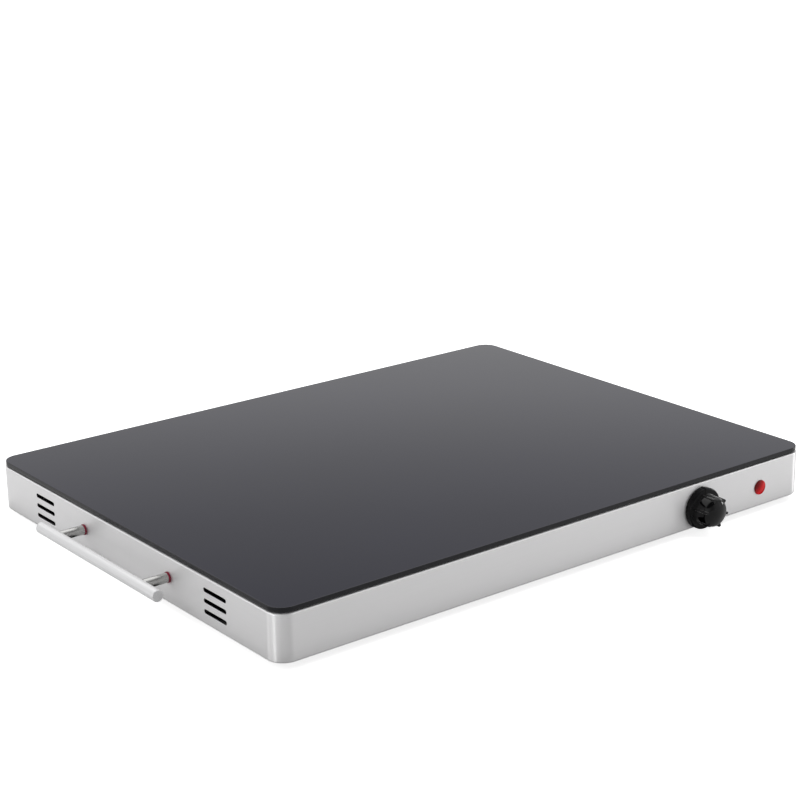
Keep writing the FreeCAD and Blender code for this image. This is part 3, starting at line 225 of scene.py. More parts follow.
def addPattern(tree, scale, detail, stretch=(1, 1, 1)):
    place = tree.nodes.new("ShaderNodeTexCoord")
    mapping = tree.nodes.new("ShaderNodeMapping")
    mapping.inputs["Scale"].default_value = stretch
    noise = tree.nodes.new("ShaderNodeTexNoise")
    noise.inputs["Scale"].default_value = scale
    noise.inputs["Detail"].default_value = detail
    tree.links.new(place.outputs["Object"], mapping.inputs["Vector"])
    tree.links.new(mapping.outputs["Vector"], noise.inputs["Vector"])
    return noise.outputs["Fac"]


def varyColour(tree, shader, pattern, dark, light):
    ramp = tree.nodes.new("ShaderNodeValToRGB")
    ramp.color_ramp.elements[0].position = 0.3
    ramp.color_ramp.elements[1].position = 0.7
    ramp.color_ramp.elements[0].color = (*dark, 1)
    ramp.color_ramp.elements[1].color = (*light, 1)
    tree.links.new(pattern, ramp.inputs["Fac"])
    tree.links.new(ramp.outputs["Color"], shader.inputs["Base Color"])


def varyRoughness(tree, shader, pattern, low, high):
    spread = tree.nodes.new("ShaderNodeMapRange")
    spread.inputs["From Min"].default_value = 0.3
    spread.inputs["From Max"].default_value = 0.7
    spread.inputs["To Min"].default_value = low
    spread.inputs["To Max"].default_value = high
    tree.links.new(pattern, spread.inputs["Value"])
    tree.links.new(spread.outputs["Result"], shader.inputs["Roughness"])


def addBump(tree, shader, pattern, height, strength=1.0):
    bump = tree.nodes.new("ShaderNodeBump")
    bump.inputs["Distance"].default_value = height
    bump.inputs["Strength"].default_value = strength
    tree.links.new(pattern, bump.inputs["Height"])
    tree.links.new(bump.outputs["Normal"], shader.inputs["Normal"])


def setSpecular(material, level):
    shader = material.node_tree.nodes["Principled BSDF"]
    shader.inputs["Specular IOR Level"].default_value = level


def shade(colour, amount):
    return tuple(min(1.0, part * amount) for part in colour)


def plainFinish(name, colour, metallic=0.0, roughness=0.5, grain=400, spread=0.12, bump=0.00002,
                stretch=(1, 1, 1)):
    material, tree, shader = startMaterial(name, colour, metallic, roughness)
    pattern = addPattern(tree, grain, 4, stretch)
    varyColour(tree, shader, pattern, shade(colour, 1 - spread), shade(colour, 1 + spread))
    varyRoughness(tree, shader, pattern, roughness * 0.85, min(1.0, roughness * 1.15))
    addBump(tree, shader, pattern, bump)
    return material


steelLook = {
    "colour": (0.83, 0.825, 0.83),
    "metallic": 0.72,
    "roughness": 0.40,
    "anisotropy": 0.92,
    "streaks": 2600,
    "streakSpread": 0.014,
}


def brushedSteel(name, look, stretch, tangentAxis="Z"):
    material, tree, shader = startMaterial(name, look["colour"], look["metallic"],
                                           look["roughness"])
    streaks = addPattern(tree, 1.0, 3, tuple(look["streaks"] * part for part in stretch))
    spread = look["streakSpread"]
    varyColour(tree, shader, streaks, shade(look["colour"], 1 - spread),
               shade(look["colour"], 1 + spread))
    varyRoughness(tree, shader, streaks, look["roughness"] * 0.93, look["roughness"] * 1.07)
    addBump(tree, shader, streaks, 0.000002, 0.3)
    shader.inputs["Anisotropic"].default_value = look["anisotropy"]
    shader.inputs["Anisotropic Rotation"].default_value = 0.25
    tangent = tree.nodes.new("ShaderNodeTangent")
    tangent.direction_type = "RADIAL"
    tangent.axis = tangentAxis
    tree.links.new(tangent.outputs["Tangent"], shader.inputs["Tangent"])
    return material


bandSteel = brushedSteel("bandSteel", steelLook, (0.004, 0.004, 1.0))
barSteel = brushedSteel("barSteel", {
    "colour": (0.69, 0.69, 0.695), "metallic": 0.4, "roughness": 0.42, "anisotropy": 0.5,
    "streaks": 1100, "streakSpread": 0.06}, (1.0, 0.01, 1.0), "Y")
postSteel = plainFinish("postSteel", (0.47, 0.47, 0.46), 1.0, 0.27, 900, 0.03, 0.000002,
                        (0.2, 1, 1))

glassLook = {
    "colour": (0.006, 0.006, 0.018),
    "roughness": 0.02,
    "ior": 1.5,
}


def blackGlass():
    material, tree, shader = startMaterial("blackGlass", glassLook["colour"], 0.0,
                                           glassLook["roughness"])
    clouds = addPattern(tree, 6, 3)
    varyRoughness(tree, shader, clouds, glassLook["roughness"], glassLook["roughness"] + 0.012)
    varyColour(tree, shader, clouds, shade(glassLook["colour"], 0.9),
               shade(glassLook["colour"], 1.1))
    shader.inputs["IOR"].default_value = glassLook["ior"]
    return material


glassBlack = blackGlass()
glassEdge = plainFinish("glassEdge", (0.006, 0.006, 0.008), 0.0, 0.22, 300, 0.2, 0.000002)
setSpecular(glassEdge, 0.32)
knobPhenolic = plainFinish("knobPhenolic", (0.001, 0.001, 0.0013), 0.0, 0.05, 250, 0.15, 0.000003)
setSpecular(knobPhenolic, 0.24)
knobMatte = plainFinish("knobMatte", (0.002, 0.002, 0.0024), 0.0, 0.3, 600, 0.15, 0.000005)
setSpecular(knobMatte, 0.12)
redSilicone = plainFinish("redSilicone", (0.18, 0.002, 0.022), 0.0, 0.26, 500, 0.12, 0.000005)
setSpecular(redSilicone, 0.35)
# Dark rough steel for the inner walls of the vents: the rough cut finish is real, and its darkness
# is painted shade inside the slots.
cutAndShadeSteel = plainFinish("cutAndShadeSteel", (0.10, 0.10, 0.10), 1.0, 0.6, 900, 0.1, 0.000004)
rubberBlack = plainFinish("rubberBlack", (0.02, 0.02, 0.021), 0.0, 0.6, 700, 0.15, 0.00003)
plasticBlack = plainFinish("plasticBlack", (0.018, 0.018, 0.019), 0.0, 0.42, 900, 0.12, 0.00003)
zincSheet = plainFinish("zincSheet", (0.55, 0.56, 0.57), 1.0, 0.42, 60, 0.06, 0.000004)
zincScrew = plainFinish("zincScrew", (0.62, 0.62, 0.6), 1.0, 0.28, 700, 0.06, 0.000004)
springSteel = plainFinish("springSteel", (0.5, 0.5, 0.51), 1.0, 0.3, 500, 0.05, 0.000003)
brassTurned = plainFinish("brassTurned", (0.72, 0.5, 0.2), 1.0, 0.28, 600, 0.06, 0.000004)
steatite = plainFinish("steatite", (0.78, 0.75, 0.69), 0.0, 0.35, 500, 0.04, 0.00001)
copperStrip = plainFinish("copperStrip", (0.75, 0.42, 0.26), 1.0, 0.3, 400, 0.06, 0.000003)
contactSilver = plainFinish("contactSilver", (0.85, 0.85, 0.84), 1.0, 0.22, 500, 0.04, 0.000003)
aluminiumMill = plainFinish("aluminiumMill", (0.78, 0.78, 0.79), 1.0, 0.35, 200, 0.04, 0.000004,
                            (0.05, 1, 1))
micaSheet = plainFinish("micaSheet", (0.6, 0.5, 0.36), 0.0, 0.5, 120, 0.2, 0.00001)
heaterAlloy = plainFinish("heaterAlloy", (0.32, 0.28, 0.26), 1.0, 0.4, 300, 0.12, 0.000003)
whiteFibre = plainFinish("whiteFibre", (0.8, 0.79, 0.76), 0.0, 0.95, 350, 0.1, 0.0003)
brownSleeve = plainFinish("brownSleeve", (0.13, 0.05, 0.025), 0.0, 0.4, 500, 0.1, 0.00002)
blueSleeve = plainFinish("blueSleeve", (0.02, 0.09, 0.3), 0.0, 0.4, 500, 0.1, 0.00002)
greenSleeve = plainFinish("greenSleeve", (0.06, 0.28, 0.05), 0.0, 0.4, 500, 0.1, 0.00002)
whiteSleeve = plainFinish("whiteSleeve", (0.74, 0.72, 0.66), 0.0, 0.8, 1500, 0.12, 0.0001)
bimetalStrip = plainFinish("bimetalStrip", (0.6, 0.5, 0.36), 1.0, 0.32, 400, 0.06, 0.000003)


def paintPaleReflection(material, level):
    # Painted reflection: for glossy rays the knob's colour is swapped for a pale grey, so the
    # brushed wall mirrors the knob as a faint shade instead of black.
    tree = material.node_tree
    colour = tree.nodes["Principled BSDF"].inputs["Base Color"]
    rays = tree.nodes.new("ShaderNodeLightPath")
    blend = tree.nodes.new("ShaderNodeMix")
    blend.data_type = "RGBA"
    blend.inputs["B"].default_value = (level, level, level, 1)
    tree.links.new(rays.outputs["Is Glossy Ray"], blend.inputs["Factor"])
    tree.links.new(colour.links[0].from_socket, blend.inputs["A"])
    tree.links.new(blend.outputs["Result"], colour)


knobPaintedReflectionGrey = 0.6
paintPaleReflection(knobPhenolic, knobPaintedReflectionGrey)
paintPaleReflection(knobMatte, knobPaintedReflectionGrey)


# The lens red, with painted shade and glow across the dome: shadedRed, brightRed and farRed.
lensLook = {
    "red": (0.46, 0.004, 0.006),
    "lightGoes": (0.75, 0, -0.66),
    "halfWidth": 6.4 * mm,
    "shadedRed": (0.15, 0.0005, 0.002),
    "shadedUpTo": 0.12,
    "brightRed": (0.80, 0.002, 0.006),
    "brightAt": 0.62,
    "farRed": (0.50, 0.001, 0.004),
    "roughness": 0.08,
    "specular": 0.18,
    "clearness": 0.1,
}


def redWithPaintedShade():
    # Painted shade and glow: a fixed gradient across the dome along lightGoes darkens the red on
    # the side the light comes from and brightens it towards the far side.
    material, tree, shader = startMaterial("redWithPaintedShade", lensLook["red"], 0.0,
                                           lensLook["roughness"])
    facets = addPattern(tree, 500, 2)
    addBump(tree, shader, facets, 0.000004, 0.3)
    low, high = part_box("indicator_lens")
    place = tree.nodes.new("ShaderNodeTexCoord")
    offset = tree.nodes.new("ShaderNodeVectorMath")
    offset.operation = "SUBTRACT"
    offset.inputs[1].default_value = (low + high) / 2
    across = tree.nodes.new("ShaderNodeVectorMath")
    across.operation = "DOT_PRODUCT"
    across.inputs[1].default_value = lensLook["lightGoes"]
    tree.links.new(place.outputs["Object"], offset.inputs[0])
    tree.links.new(offset.outputs["Vector"], across.inputs[0])
    paintedShadeAcross = tree.nodes.new("ShaderNodeMapRange")
    paintedShadeAcross.inputs["From Min"].default_value = -lensLook["halfWidth"]
    paintedShadeAcross.inputs["From Max"].default_value = lensLook["halfWidth"]
    tree.links.new(across.outputs["Value"], paintedShadeAcross.inputs["Value"])
    red = tree.nodes.new("ShaderNodeValToRGB")
    ramp = red.color_ramp
    ramp.elements[0].position = lensLook["shadedUpTo"]
    ramp.elements[0].color = (*lensLook["shadedRed"], 1)
    ramp.elements[1].position = 1.0
    ramp.elements[1].color = (*lensLook["farRed"], 1)
    peak = ramp.elements.new(lensLook["brightAt"])
    peak.color = (*lensLook["brightRed"], 1)
    tree.links.new(paintedShadeAcross.outputs["Result"], red.inputs["Fac"])
    tree.links.new(red.outputs["Color"], shader.inputs["Base Color"])
    shader.inputs["Specular IOR Level"].default_value = lensLook["specular"]
    shader.inputs["Transmission Weight"].default_value = lensLook["clearness"]
    return material


def lampGlass():
    material, tree, shader = startMaterial("lampGlass", (0.9, 0.7, 0.6), 0.0, 0.1)
    haze = addPattern(tree, 400, 2)
    varyRoughness(tree, shader, haze, 0.05, 0.15)
    shader.inputs["Transmission Weight"].default_value = 0.8
    return material


lensRed = redWithPaintedShade()
neonGlass = lampGlass()

print("materials ready")

slotFinish = {
    "band_steel": bandSteel, "black_glass": glassBlack, "black_silicone": rubberBlack,
    "zinc_steel": zincSheet, "rubber": rubberBlack, "bar_steel": barSteel,
    "post_steel": postSteel, "red_silicone": redSilicone, "screw_steel": zincScrew,
    "knob_plastic": knobPhenolic, "spring_steel": springSteel, "brass": brassTurned,
    "ceramic": steatite, "copper_alloy": copperStrip, "silver": contactSilver,
    "red_lens": lensRed, "lamp_glass": neonGlass, "black_plastic": plasticBlack,
    "aluminium": aluminiumMill, "mica": micaSheet, "heater_alloy": heaterAlloy,
    "fibre": whiteFibre, "brown_sleeve": brownSleeve, "blue_sleeve": blueSleeve,
    "green_sleeve": greenSleeve, "white_sleeve": whiteSleeve, "bimetal": bimetalStrip,
}
for part in frame["record"]["subparts"]:
    material = slotFinish[part["material_slot"]]
    holder = nodes[part["node"]].data.materials
    holder.clear()
    holder.append(material)


# Places taken from the frame

bandLow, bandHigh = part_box("casing_band")
glassLow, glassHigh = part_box("glass_top")
yFront = bandLow.y
yBack = bandHigh.y
middle = (bandLow + bandHigh) / 2


# Casing band: one bent sheet with vents

band = {
    "sheet": 0.8 * mm,
    "cornerRadius": 14.5 * mm,
    "bendRadius": 1.3 * mm,
    "flange": 12 * mm,
    "ventLength": 30.2 * mm,
    "ventWidth": 3.5 * mm,
    "ventPitch": 8.65 * mm,
    "ventHeight": 19.5 * mm,
    "ventPlace": 129 * mm,
    "knobHole": 4.95 * mm,
    "lensHole": 5.2 * mm,
    "inletSide": 5.7 * mm,
    "inletBelow": 5.6 * mm,
    "inletAbove": 5.2 * mm,
    "cutReach": 4 * mm,
    "cornerSteps": 20,
}


def makeVentCutter(side, y, z):
    half = band["ventWidth"] / 2
    x = side * bandHigh.x
    reach = band["cutReach"]
    cutter = addBlock((x - reach, y - band["ventLength"] / 2, z - half),
                      (x + reach, y + band["ventLength"] / 2, z + half))
    bevelEdges(cutter, lambda e: abs(edgeRuns(e).x) > 0.99, half * 0.999, 6)
    return cutter


def isVentEdge(face):
    # The punched edges inside the vents: they stand square to the short walls.
    fromVent = abs(abs(face.center.y - middle.y) - band["ventPlace"])
    depth = bandHigh.x - abs(face.center.x)
    inWall = band["sheet"] * 0.1 < depth < band["sheet"] * 0.9
    return fromVent < band["ventLength"] / 2 + mm and inWall and abs(face.normal.x) < 0.3


def makeBand():
    shell = addBlock(bandLow, bandHigh)
    bevelEdges(shell, isUpright, band["cornerRadius"], band["cornerSteps"])
    for up in (1, -1):
        choose(shell, "FACE", lambda f: f.normal.z * up > 0.9)
        bpy.ops.mesh.inset(thickness=band["flange"])
        bpy.ops.mesh.delete(type="FACE")
        leaveEdit()
    bevelEdges(shell, betweenWallAndLid, band["bendRadius"], 5)
    pick(shell)
    wall = shell.modifiers.new("sheet", "SOLIDIFY")
    wall.thickness = band["sheet"]
    wall.offset = -1
    wall.use_even_offset = True
    bpy.ops.object.modifier_apply(modifier=wall.name)
    cutters = []
    for side in (-1, 1):
        for end in (-1, 1):
            for level in (-1, 0, 1):
                z = bandLow.z + band["ventHeight"] + level * band["ventPitch"]
                cutters.append(makeVentCutter(side, middle.y + end * band["ventPlace"], z))
    reach = band["cutReach"]
    for node, radius in (("thermostat_bush", band["knobHole"]),
                         ("indicator_lens", band["lensHole"])):
        low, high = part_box(node)
        axis = (low + high) / 2
        cutters.append(addRod((axis.x, yFront - reach, axis.z), (axis.x, yFront + reach, axis.z),
                              radius))
    low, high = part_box("inlet_pins")
    side = band["inletSide"]
    cutters.append(addBlock((low.x - side, yBack - reach, low.z - band["inletBelow"]),
                            (high.x + side, yBack + reach, high.z + band["inletAbove"])))
    cutWith(shell, cutters)
    smoothOver(shell)
    nameAs(shell, "brushedBand", "tray", "band_steel", bandSteel, "casing_band")
    # The vents' inner walls take the dark steel: painted shade inside the slots.
    shell.data.materials.append(cutAndShadeSteel)
    for face in shell.data.polygons:
        if isVentEdge(face):
            face.material_index = 1
    return shell


makeBand()
print("casing band made")


# Glass top with ground edges

glass = {
    "cornerRadius": 13.8 * mm,
    "groundEdge": 0.6 * mm,
    "cornerSteps": 20,
}


def makeGlass():
    plate = addBlock(glassLow, glassHigh)
    bevelEdges(plate, isUpright, glass["cornerRadius"], glass["cornerSteps"])
    bevelEdges(plate, betweenWallAndLid, glass["groundEdge"], 3)
    smoothOver(plate)
    nameAs(plate, "blackGlassTop", "tray", "black_glass", glassBlack, "glass_top")
    plate.data.materials.append(glassEdge)
    for face in plate.data.polygons:
        if abs(face.normal.z) < 0.9:
            face.material_index = 1
    return plate


makeGlass()
print("glass made")


# Handles: bar, posts and washers

handle = {
    "postSpacing": 128 * mm,
    "postRadius": 4 * mm,
    "postEdge": 0.3 * mm,
    "postSink": 2 * mm,
    "barChamfer": 0.5 * mm,
    "washerThickness": 1.6 * mm,
    "washerRadius": 4.5 * mm,
    "washerRound": 0.5 * mm,
}


def makeHandle(name):
    low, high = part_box("handle_bar_" + name)
    axis = (low + high) / 2
    radius = (high.z - low.z) / 2
    bar = addRod((axis.x, low.y, axis.z), (axis.x, high.y, axis.z), radius, 64)
    bevelEdges(bar, isSharp, handle["barChamfer"], 3)
    smoothOver(bar)
    nameAs(bar, "handleBar_" + name, "tray", "bar_steel", barSteel, "handle_bar_" + name)


def makePosts():
    posts = []
    low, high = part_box("handle_bar_right")
    z = (low.z + high.z) / 2
    reach = (low.x + high.x) / 2 - handle["postSink"]
    for side in (-1, 1):
        for end in (-1, 1):
            y = middle.y + end * handle["postSpacing"] / 2
            wall = side * (bandHigh.x + handle["washerThickness"])
            post = addRod((wall, y, z), (side * reach, y, z), handle["postRadius"], 40)
            bevelEdges(post, isSharp, handle["postEdge"], 2)
            posts.append(post)
    pick(*posts)
    bpy.ops.object.join()
    smoothOver(posts[0])
    nameAs(posts[0], "handlePosts", "tray", "post_steel", postSteel, "handle_posts")


def makeWashers():
    washers = []
    low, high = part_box("handle_bar_right")
    z = (low.z + high.z) / 2
    for side in (-1, 1):
        for end in (-1, 1):
            y = middle.y + end * handle["postSpacing"] / 2
            wall = side * bandHigh.x
            washer = addRod((wall, y, z), (wall + side * handle["washerThickness"], y, z),
                            handle["washerRadius"], 40)
            bevelEdges(washer, isSharp, handle["washerRound"], 4)
            washers.append(washer)
    pick(*washers)
    bpy.ops.object.join()
    smoothOver(washers[0])
    nameAs(washers[0], "handleWashers", "tray", "red_silicone", redSilicone, "handle_washers")


makeHandle("left")
makeHandle("right")
makePosts()
makeWashers()
print("handles made")


# Control knob: skirt, ribbed grip and pointer, turned about the shaft

knob = {
    "skirtRadius": 17.6 * mm,
    "skirtThickness": 5.8 * mm,
    "skirtEdge": 1.2 * mm,
    "gripRoot": 13 * mm,
    "gripRadius": 12.5 * mm,
    "gripLength": 16.1 * mm,
    "corner": 5.5 * mm,
    "crownRadius": 22 * mm,
    "ribs": 6,
    "ribAngle": 47,
    "ribWidth": 2.2 * mm,
    "ribHeight": 0.9 * mm,
    "ribSetback": 2.8 * mm,
    "ribRoot": 3.2 * mm,
    "ribRound": 0.6 * mm,
    "ribSink": 0.2 * mm,
    "gap": 0.8 * mm,
    "backEdge": 0.3 * mm,
    "recessRadius": 10.5 * mm,
    "recessDepth": 5 * mm,
    "pointerWidth": 2 * mm,
    "pointerHeight": 0.7 * mm,
    "pointerRise": 0.3 * mm,
    "pointerRound": 0.5 * mm,
    "rootFillet": ((0.6 * mm, 0), (0.15 * mm, 0.2 * mm), (0, 0.7 * mm)),
    "matteUpTo": 0.3 * mm,
}


def makeKnob():
    low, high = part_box("thermostat_shaft")
    axis = (low + high) / 2
    centre = Vector((axis.x, yFront, axis.z))
    back = knob["gap"]
    face = back + knob["skirtThickness"]
    front = face + knob["gripLength"]
    rim = knob["skirtRadius"] - knob["skirtEdge"]
    profile = [(0, back + knob["recessDepth"]), (knob["recessRadius"], back + knob["recessDepth"]),
               (knob["recessRadius"], back), (knob["skirtRadius"] - knob["backEdge"], back),
               (knob["skirtRadius"], back + knob["backEdge"])]
    profile += roundCorner((rim, face - knob["skirtEdge"]), knob["skirtEdge"], 0, 90, 5)
    profile += [(knob["gripRoot"] + out, face + up) for out, up in knob["rootFillet"]]
    reach = knob["gripRadius"] - knob["corner"]
    rise = math.sqrt((knob["crownRadius"] - knob["corner"]) ** 2 - reach ** 2)
    meet = math.degrees(math.atan2(rise, reach))
    crown = front - knob["crownRadius"]
    profile += roundCorner((reach, crown + rise), knob["corner"], 0, meet, 12)
    profile += roundCorner((0, crown), knob["crownRadius"], meet, 90, 7)[1:]
    body = turnOnLathe(profile, centre, (0, -1, 0), 96)
    ribs = []
    for i in range(knob["ribs"]):
        angle = math.radians(knob["ribAngle"] + 360 / knob["ribs"] * i)
        inner = knob["gripRadius"] - knob["ribRoot"]
        outer = knob["gripRadius"] + knob["ribHeight"]
        rib = addBlock((inner, -(front - knob["ribSetback"]), -knob["ribWidth"] / 2),
                       (outer, -(face - knob["ribSink"]), knob["ribWidth"] / 2))
        bevelEdges(rib, lambda e: all(v.co.x > outer - 1e-6 for v in e.verts),
                   knob["ribRound"], 4)
        pick(rib)
        rib.rotation_euler = (0, -angle, 0)
        rib.location = centre
        ribs.append(settle(rib))
    half = knob["pointerWidth"] / 2
    tip = knob["skirtRadius"] + knob["pointerHeight"]
    pointer = addBlock((-half, -(face + knob["pointerRise"]), knob["gripRadius"]),
                       (half, -back, tip))
    bevelEdges(pointer, lambda e: all(v.co.z > knob["skirtRadius"] for v in e.verts),
               knob["pointerRound"], 3)
    pointer.location = centre
    ribs.append(settle(pointer))
    for piece in ribs:
        cutWith(body, [piece], "UNION")
    smoothOver(body, 40)
    nameAs(body, "knobBody", "knob", "knob_plastic", knobPhenolic, "control_knob")
    body.data.materials.append(knobMatte)
    for side in body.data.polygons:
        away = math.hypot(side.center.x - axis.x, side.center.z - axis.z)
        if yFront - side.center.y < face + knob["matteUpTo"] and away > knob["gripRoot"]:
            side.material_index = 1
    return body


makeKnob()
print("knob made")


# Indicator lens: a shallow red dome

lens = {
    "radius": 6.4 * mm,
    "rim": 1.0 * mm,
    "edge": 0.5 * mm,
    "backEdge": 0.1 * mm,
    "dome": 1.1 * mm,
    "domeSteps": 10,
    "barrelRadius": 5 * mm,
    "barrel": 9 * mm,
    "wall": 1 * mm,
}


def makeLens():
    low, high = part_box("indicator_lens")
    centre = Vector(((low.x + high.x) / 2, yFront, (low.z + high.z) / 2))
    inner = lens["barrelRadius"] - lens["wall"]
    profile = [(0, -lens["wall"]), (inner, -lens["wall"]), (inner, -lens["barrel"]),
               (lens["barrelRadius"], -lens["barrel"]), (lens["barrelRadius"], 0),
               (lens["radius"] - lens["backEdge"], 0), (lens["radius"], lens["backEdge"])]
    flat = lens["radius"] - lens["edge"]
    profile += roundCorner((flat, lens["rim"] - lens["edge"]), lens["edge"], 0, 50, 4)
    for i in range(lens["domeSteps"]):
        share = 1 - (i + 1) / lens["domeSteps"]
        profile.append((flat * share, lens["rim"] + lens["dome"] * (1 - share ** 2)))
    body = turnOnLathe(profile, centre, (0, -1, 0), 64)
    smoothOver(body, 40)
    return nameAs(body, "lampLens", "tray", "red_lens", lensRed, "indicator_lens")


makeLens()
print("lens made")


# Floor, background, lights and camera

def compass(degrees):
    # Where a heading lies on the radial gradient, with 0 at +X and 90 at +Y.
    return (degrees % 360 / 360 + 0.5) % 1.0


def byCompass(levels):
    return sorted((compass(heading), level) for heading, level in levels)


stageLook = {
    "floorSize": 14,
    "floorColour": (0.82, 0.82, 0.82),
    "floorInGloss": (0.40, 0.40, 0.40),
    "floorGlow": 0.8,
    "floorGlowNear": 0.06,
    "floorGlowFar": 0.48,
    "dimPlace": (-0.34, -0.30, 0),
    "dimReach": 0.75,
    "contactNear": 9 * mm,
    "contactFar": 14 * mm,
    "worldLight": 0.45,
    "backWallLevels": ((0.0, 1.0), (0.25, 0.9), (0.30, 0.74), (0.335, 0.56), (0.36, 0.47),
                       (0.40, 0.39)),
    "backHeadings": ((12, 0.0), (32, 1.0), (70, 1.0), (86, 0.0)),
    "lowHeadings": ((0, 1.0), (100, 1.0), (116, 1.0), (119, 0.7), (121, 0.85), (124, 0.52),
                    (134, 0.55), (150, 0.8), (163, 1.25), (176, 1.4), (190, 1.1), (200, 1.2),
                    (211, 1.3), (222, 0.92), (240, 0.78), (268, 0.42), (280, 0.5), (293, 0.85),
                    (304, 0.96), (311, 0.88), (320, 1.08), (338, 0.56)),
    "highHeadings": ((0, 1.6), (100, 1.6), (150, 1.2), (175, 0.1), (295, 0.1), (330, 0.9)),
    "highStart": 0.45,
    "highFull": 0.62,
}


def addPaintedContactShadow(tree, place):
    # Painted contact shadow on the floor, seen only in reflections: 0 under the tray and close to
    # its walls, 1 further out, which gives the thin dark line along the foot of the walls.
    offset = tree.nodes.new("ShaderNodeVectorMath")
    offset.operation = "SUBTRACT"
    offset.inputs[1].default_value = (middle.x, middle.y, 0)
    tree.links.new(place, offset.inputs[0])
    size = tree.nodes.new("ShaderNodeVectorMath")
    size.operation = "ABSOLUTE"
    tree.links.new(offset.outputs["Vector"], size.inputs[0])
    out = tree.nodes.new("ShaderNodeVectorMath")
    out.operation = "SUBTRACT"
    out.inputs[1].default_value = (bandHigh.x - middle.x, bandHigh.y - middle.y, 0)
    tree.links.new(size.outputs["Vector"], out.inputs[0])
    split = tree.nodes.new("ShaderNodeSeparateXYZ")
    tree.links.new(out.outputs["Vector"], split.inputs["Vector"])
    furthest = tree.nodes.new("ShaderNodeMath")
    furthest.operation = "MAXIMUM"
    tree.links.new(split.outputs["X"], furthest.inputs[0])
    tree.links.new(split.outputs["Y"], furthest.inputs[1])
    fade = tree.nodes.new("ShaderNodeMapRange")
    fade.inputs["From Min"].default_value = stageLook["contactNear"]
    fade.inputs["From Max"].default_value = stageLook["contactFar"]
    tree.links.new(furthest.outputs["Value"], fade.inputs["Value"])
    return fade.outputs["Result"]


def makeFloor():
    freshStart()
    bpy.ops.mesh.primitive_plane_add(size=stageLook["floorSize"], location=(0, 0, 0))
    floor = bpy.context.object
    floor.name = "paleFloor"
    material, tree, shader = startMaterial("palePaper", stageLook["floorColour"], 0.0, 1.0)
    shader.inputs["Specular IOR Level"].default_value = 0.0
    # Seen in reflections, the floor takes the darker floorInGloss colour and a glow that is
    # painted shade: dim around dimPlace and brighter further out, and cut by the painted contact
    # shadow close to the tray.
    rays = tree.nodes.new("ShaderNodeLightPath")
    forCamera = tree.nodes.new("ShaderNodeMath")
    forCamera.operation = "MULTIPLY"
    forCamera.inputs[1].default_value = stageLook["floorGlow"]
    forMetal = tree.nodes.new("ShaderNodeMath")
    forMetal.operation = "MULTIPLY_ADD"
    place = tree.nodes.new("ShaderNodeTexCoord")
    reach = tree.nodes.new("ShaderNodeVectorMath")
    reach.operation = "DISTANCE"
    reach.inputs[1].default_value = stageLook["dimPlace"]
    tree.links.new(place.outputs["Object"], reach.inputs[0])
    falloff = tree.nodes.new("ShaderNodeMapRange")
    falloff.inputs["From Max"].default_value = stageLook["dimReach"]
    falloff.inputs["To Min"].default_value = stageLook["floorGlowNear"]
    falloff.inputs["To Max"].default_value = stageLook["floorGlowFar"]
    tree.links.new(reach.outputs["Value"], falloff.inputs["Value"])
    shadow = addPaintedContactShadow(tree, place.outputs["Object"])
    dimmed = tree.nodes.new("ShaderNodeMath")
    dimmed.operation = "MULTIPLY"
    tree.links.new(falloff.outputs["Result"], dimmed.inputs[0])
    tree.links.new(shadow, dimmed.inputs[1])
    gloss = tree.nodes.new("ShaderNodeMix")
    gloss.data_type = "RGBA"
    gloss.inputs["A"].default_value = (0, 0, 0, 1)
    gloss.inputs["B"].default_value = (*stageLook["floorInGloss"], 1)
    tree.links.new(shadow, gloss.inputs["Factor"])
    paper = tree.nodes.new("ShaderNodeMix")
    paper.data_type = "RGBA"
    paper.inputs["A"].default_value = (*stageLook["floorColour"], 1)
    tree.links.new(gloss.outputs["Result"], paper.inputs["B"])
    tree.links.new(rays.outputs["Is Glossy Ray"], paper.inputs["Factor"])
    tree.links.new(paper.outputs["Result"], shader.inputs["Base Color"])
    tree.links.new(rays.outputs["Is Camera Ray"], forCamera.inputs[0])
    tree.links.new(rays.outputs["Is Glossy Ray"], forMetal.inputs[0])
    tree.links.new(dimmed.outputs["Value"], forMetal.inputs[1])
    tree.links.new(forCamera.outputs["Value"], forMetal.inputs[2])
    shader.inputs["Emission Color"].default_value = (1, 1, 1, 1)
    tree.links.new(forMetal.outputs["Value"], shader.inputs["Emission Strength"])
    floor.data.materials.append(material)


def addRamp(tree, source, stops):
    node = tree.nodes.new("ShaderNodeValToRGB")
    ramp = node.color_ramp
    ramp.elements.remove(ramp.elements[1])
    ramp.elements[0].position = stops[0][0]
    for i, (place, level) in enumerate(stops):
        stop = ramp.elements[0] if i == 0 else ramp.elements.new(place)
        stop.color = (level, level, level, 1)
    tree.links.new(source, node.inputs["Fac"])
    return node.outputs["Color"]


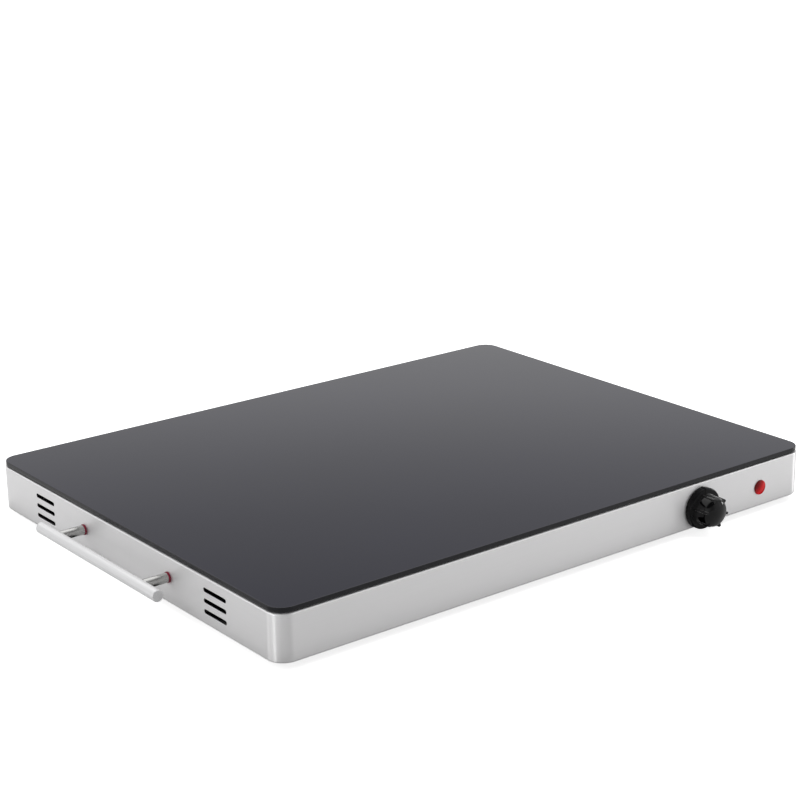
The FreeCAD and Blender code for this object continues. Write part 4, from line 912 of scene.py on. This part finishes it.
def makeWorld():
    world = bpy.data.worlds.new("studio")
    bpy.context.scene.world = world
    world.use_nodes = True
    tree = world.node_tree
    backdrop = tree.nodes["Background"]
    backdrop.inputs["Color"].default_value = (1, 1, 1, 1)
    rays = tree.nodes.new("ShaderNodeLightPath")
    direction = tree.nodes.new("ShaderNodeTexCoord")
    split = tree.nodes.new("ShaderNodeSeparateXYZ")
    tree.links.new(direction.outputs["Generated"], split.inputs["Vector"])
    lowWall = addRamp(tree, split.outputs["Z"], stageLook["backWallLevels"])
    around = tree.nodes.new("ShaderNodeTexGradient")
    around.gradient_type = "RADIAL"
    tree.links.new(direction.outputs["Generated"], around.inputs["Vector"])
    lowLevel = addRamp(tree, around.outputs["Fac"], byCompass(stageLook["lowHeadings"]))
    highLevel = addRamp(tree, around.outputs["Fac"], byCompass(stageLook["highHeadings"]))
    backShare = addRamp(tree, around.outputs["Fac"], byCompass(stageLook["backHeadings"]))
    pickWall = tree.nodes.new("ShaderNodeMix")
    pickWall.data_type = "FLOAT"
    tree.links.new(backShare, pickWall.inputs["Factor"])
    tree.links.new(lowLevel, pickWall.inputs["A"])
    tree.links.new(lowWall, pickWall.inputs["B"])
    height = tree.nodes.new("ShaderNodeMapRange")
    height.inputs["From Min"].default_value = stageLook["highStart"]
    height.inputs["From Max"].default_value = stageLook["highFull"]
    tree.links.new(split.outputs["Z"], height.inputs["Value"])
    ceiling = tree.nodes.new("ShaderNodeMix")
    ceiling.data_type = "FLOAT"
    tree.links.new(height.outputs["Result"], ceiling.inputs["Factor"])
    tree.links.new(pickWall.outputs["Result"], ceiling.inputs["A"])
    tree.links.new(highLevel, ceiling.inputs["B"])
    mixer = tree.nodes.new("ShaderNodeMix")
    mixer.data_type = "FLOAT"
    mixer.inputs["A"].default_value = stageLook["worldLight"]
    tree.links.new(rays.outputs["Is Glossy Ray"], mixer.inputs["Factor"])
    tree.links.new(ceiling.outputs["Result"], mixer.inputs["B"])
    seen = tree.nodes.new("ShaderNodeMath")
    seen.operation = "MAXIMUM"
    tree.links.new(rays.outputs["Is Camera Ray"], seen.inputs[0])
    tree.links.new(rays.outputs["Is Transmission Ray"], seen.inputs[1])
    white = tree.nodes.new("ShaderNodeMix")
    white.data_type = "FLOAT"
    white.inputs["B"].default_value = 1.0
    tree.links.new(seen.outputs["Value"], white.inputs["Factor"])
    tree.links.new(mixer.outputs["Result"], white.inputs["A"])
    tree.links.new(white.outputs["Result"], backdrop.inputs["Strength"])


# The three windows stand near the floor, so that the glass mirrors them only from low down.
lamps = [
    {"name": "softOverhead", "place": (0.1, -0.1, 1.9), "size": 2.2, "height": 2.2, "power": 26,
     "shows": False},
    {"name": "softLeft", "place": (-2.0, 0.5, 1.2), "size": 1.1, "height": 1.1, "power": 10,
     "shows": False},
    {"name": "rightWindow", "place": (2.105, -0.884, 0.24), "size": 0.42, "height": 0.42,
     "power": 5.4, "shows": True},
    {"name": "leftWindow", "place": (-2.2, -0.40, 0.15), "size": 0.45, "height": 0.22,
     "power": 3, "shows": True},
    {"name": "lowWindow", "place": (-1.85, 0.86, 0.13), "size": 0.4, "height": 0.2,
     "power": 1.2, "shows": True},
]


lampsAim = (0, 0, 0.02)


def makeLamps():
    for lamp in lamps:
        freshStart()
        bpy.ops.object.light_add(type="AREA", location=lamp["place"])
        light = bpy.context.object
        light.name = lamp["name"]
        light.data.shape = "RECTANGLE"
        light.data.size = lamp["size"]
        light.data.size_y = lamp["height"]
        light.data.energy = lamp["power"]
        aim = Vector(lampsAim) - Vector(lamp["place"])
        light.rotation_euler = aim.to_track_quat("-Z", "Y").to_euler()
        light.visible_glossy = lamp["shows"]


view = {
    "place": (-971.26 * mm, -1243.48 * mm, 603.07 * mm),
    "turn": (72.2652, 0.7873, -38.0031),
    "lens": 87.85,
}


def makeCamera():
    freshStart()
    bpy.ops.object.camera_add(location=view["place"],
                              rotation=[math.radians(angle) for angle in view["turn"]])
    camera = bpy.context.object
    camera.name = "photoCamera"
    camera.data.sensor_width = 36
    camera.data.lens = view["lens"]
    camera.data.clip_end = 50
    bpy.context.scene.camera = camera


makeFloor()
makeWorld()
makeLamps()
makeCamera()
bpy.context.scene.view_settings.view_transform = "Standard"
print("stage ready")
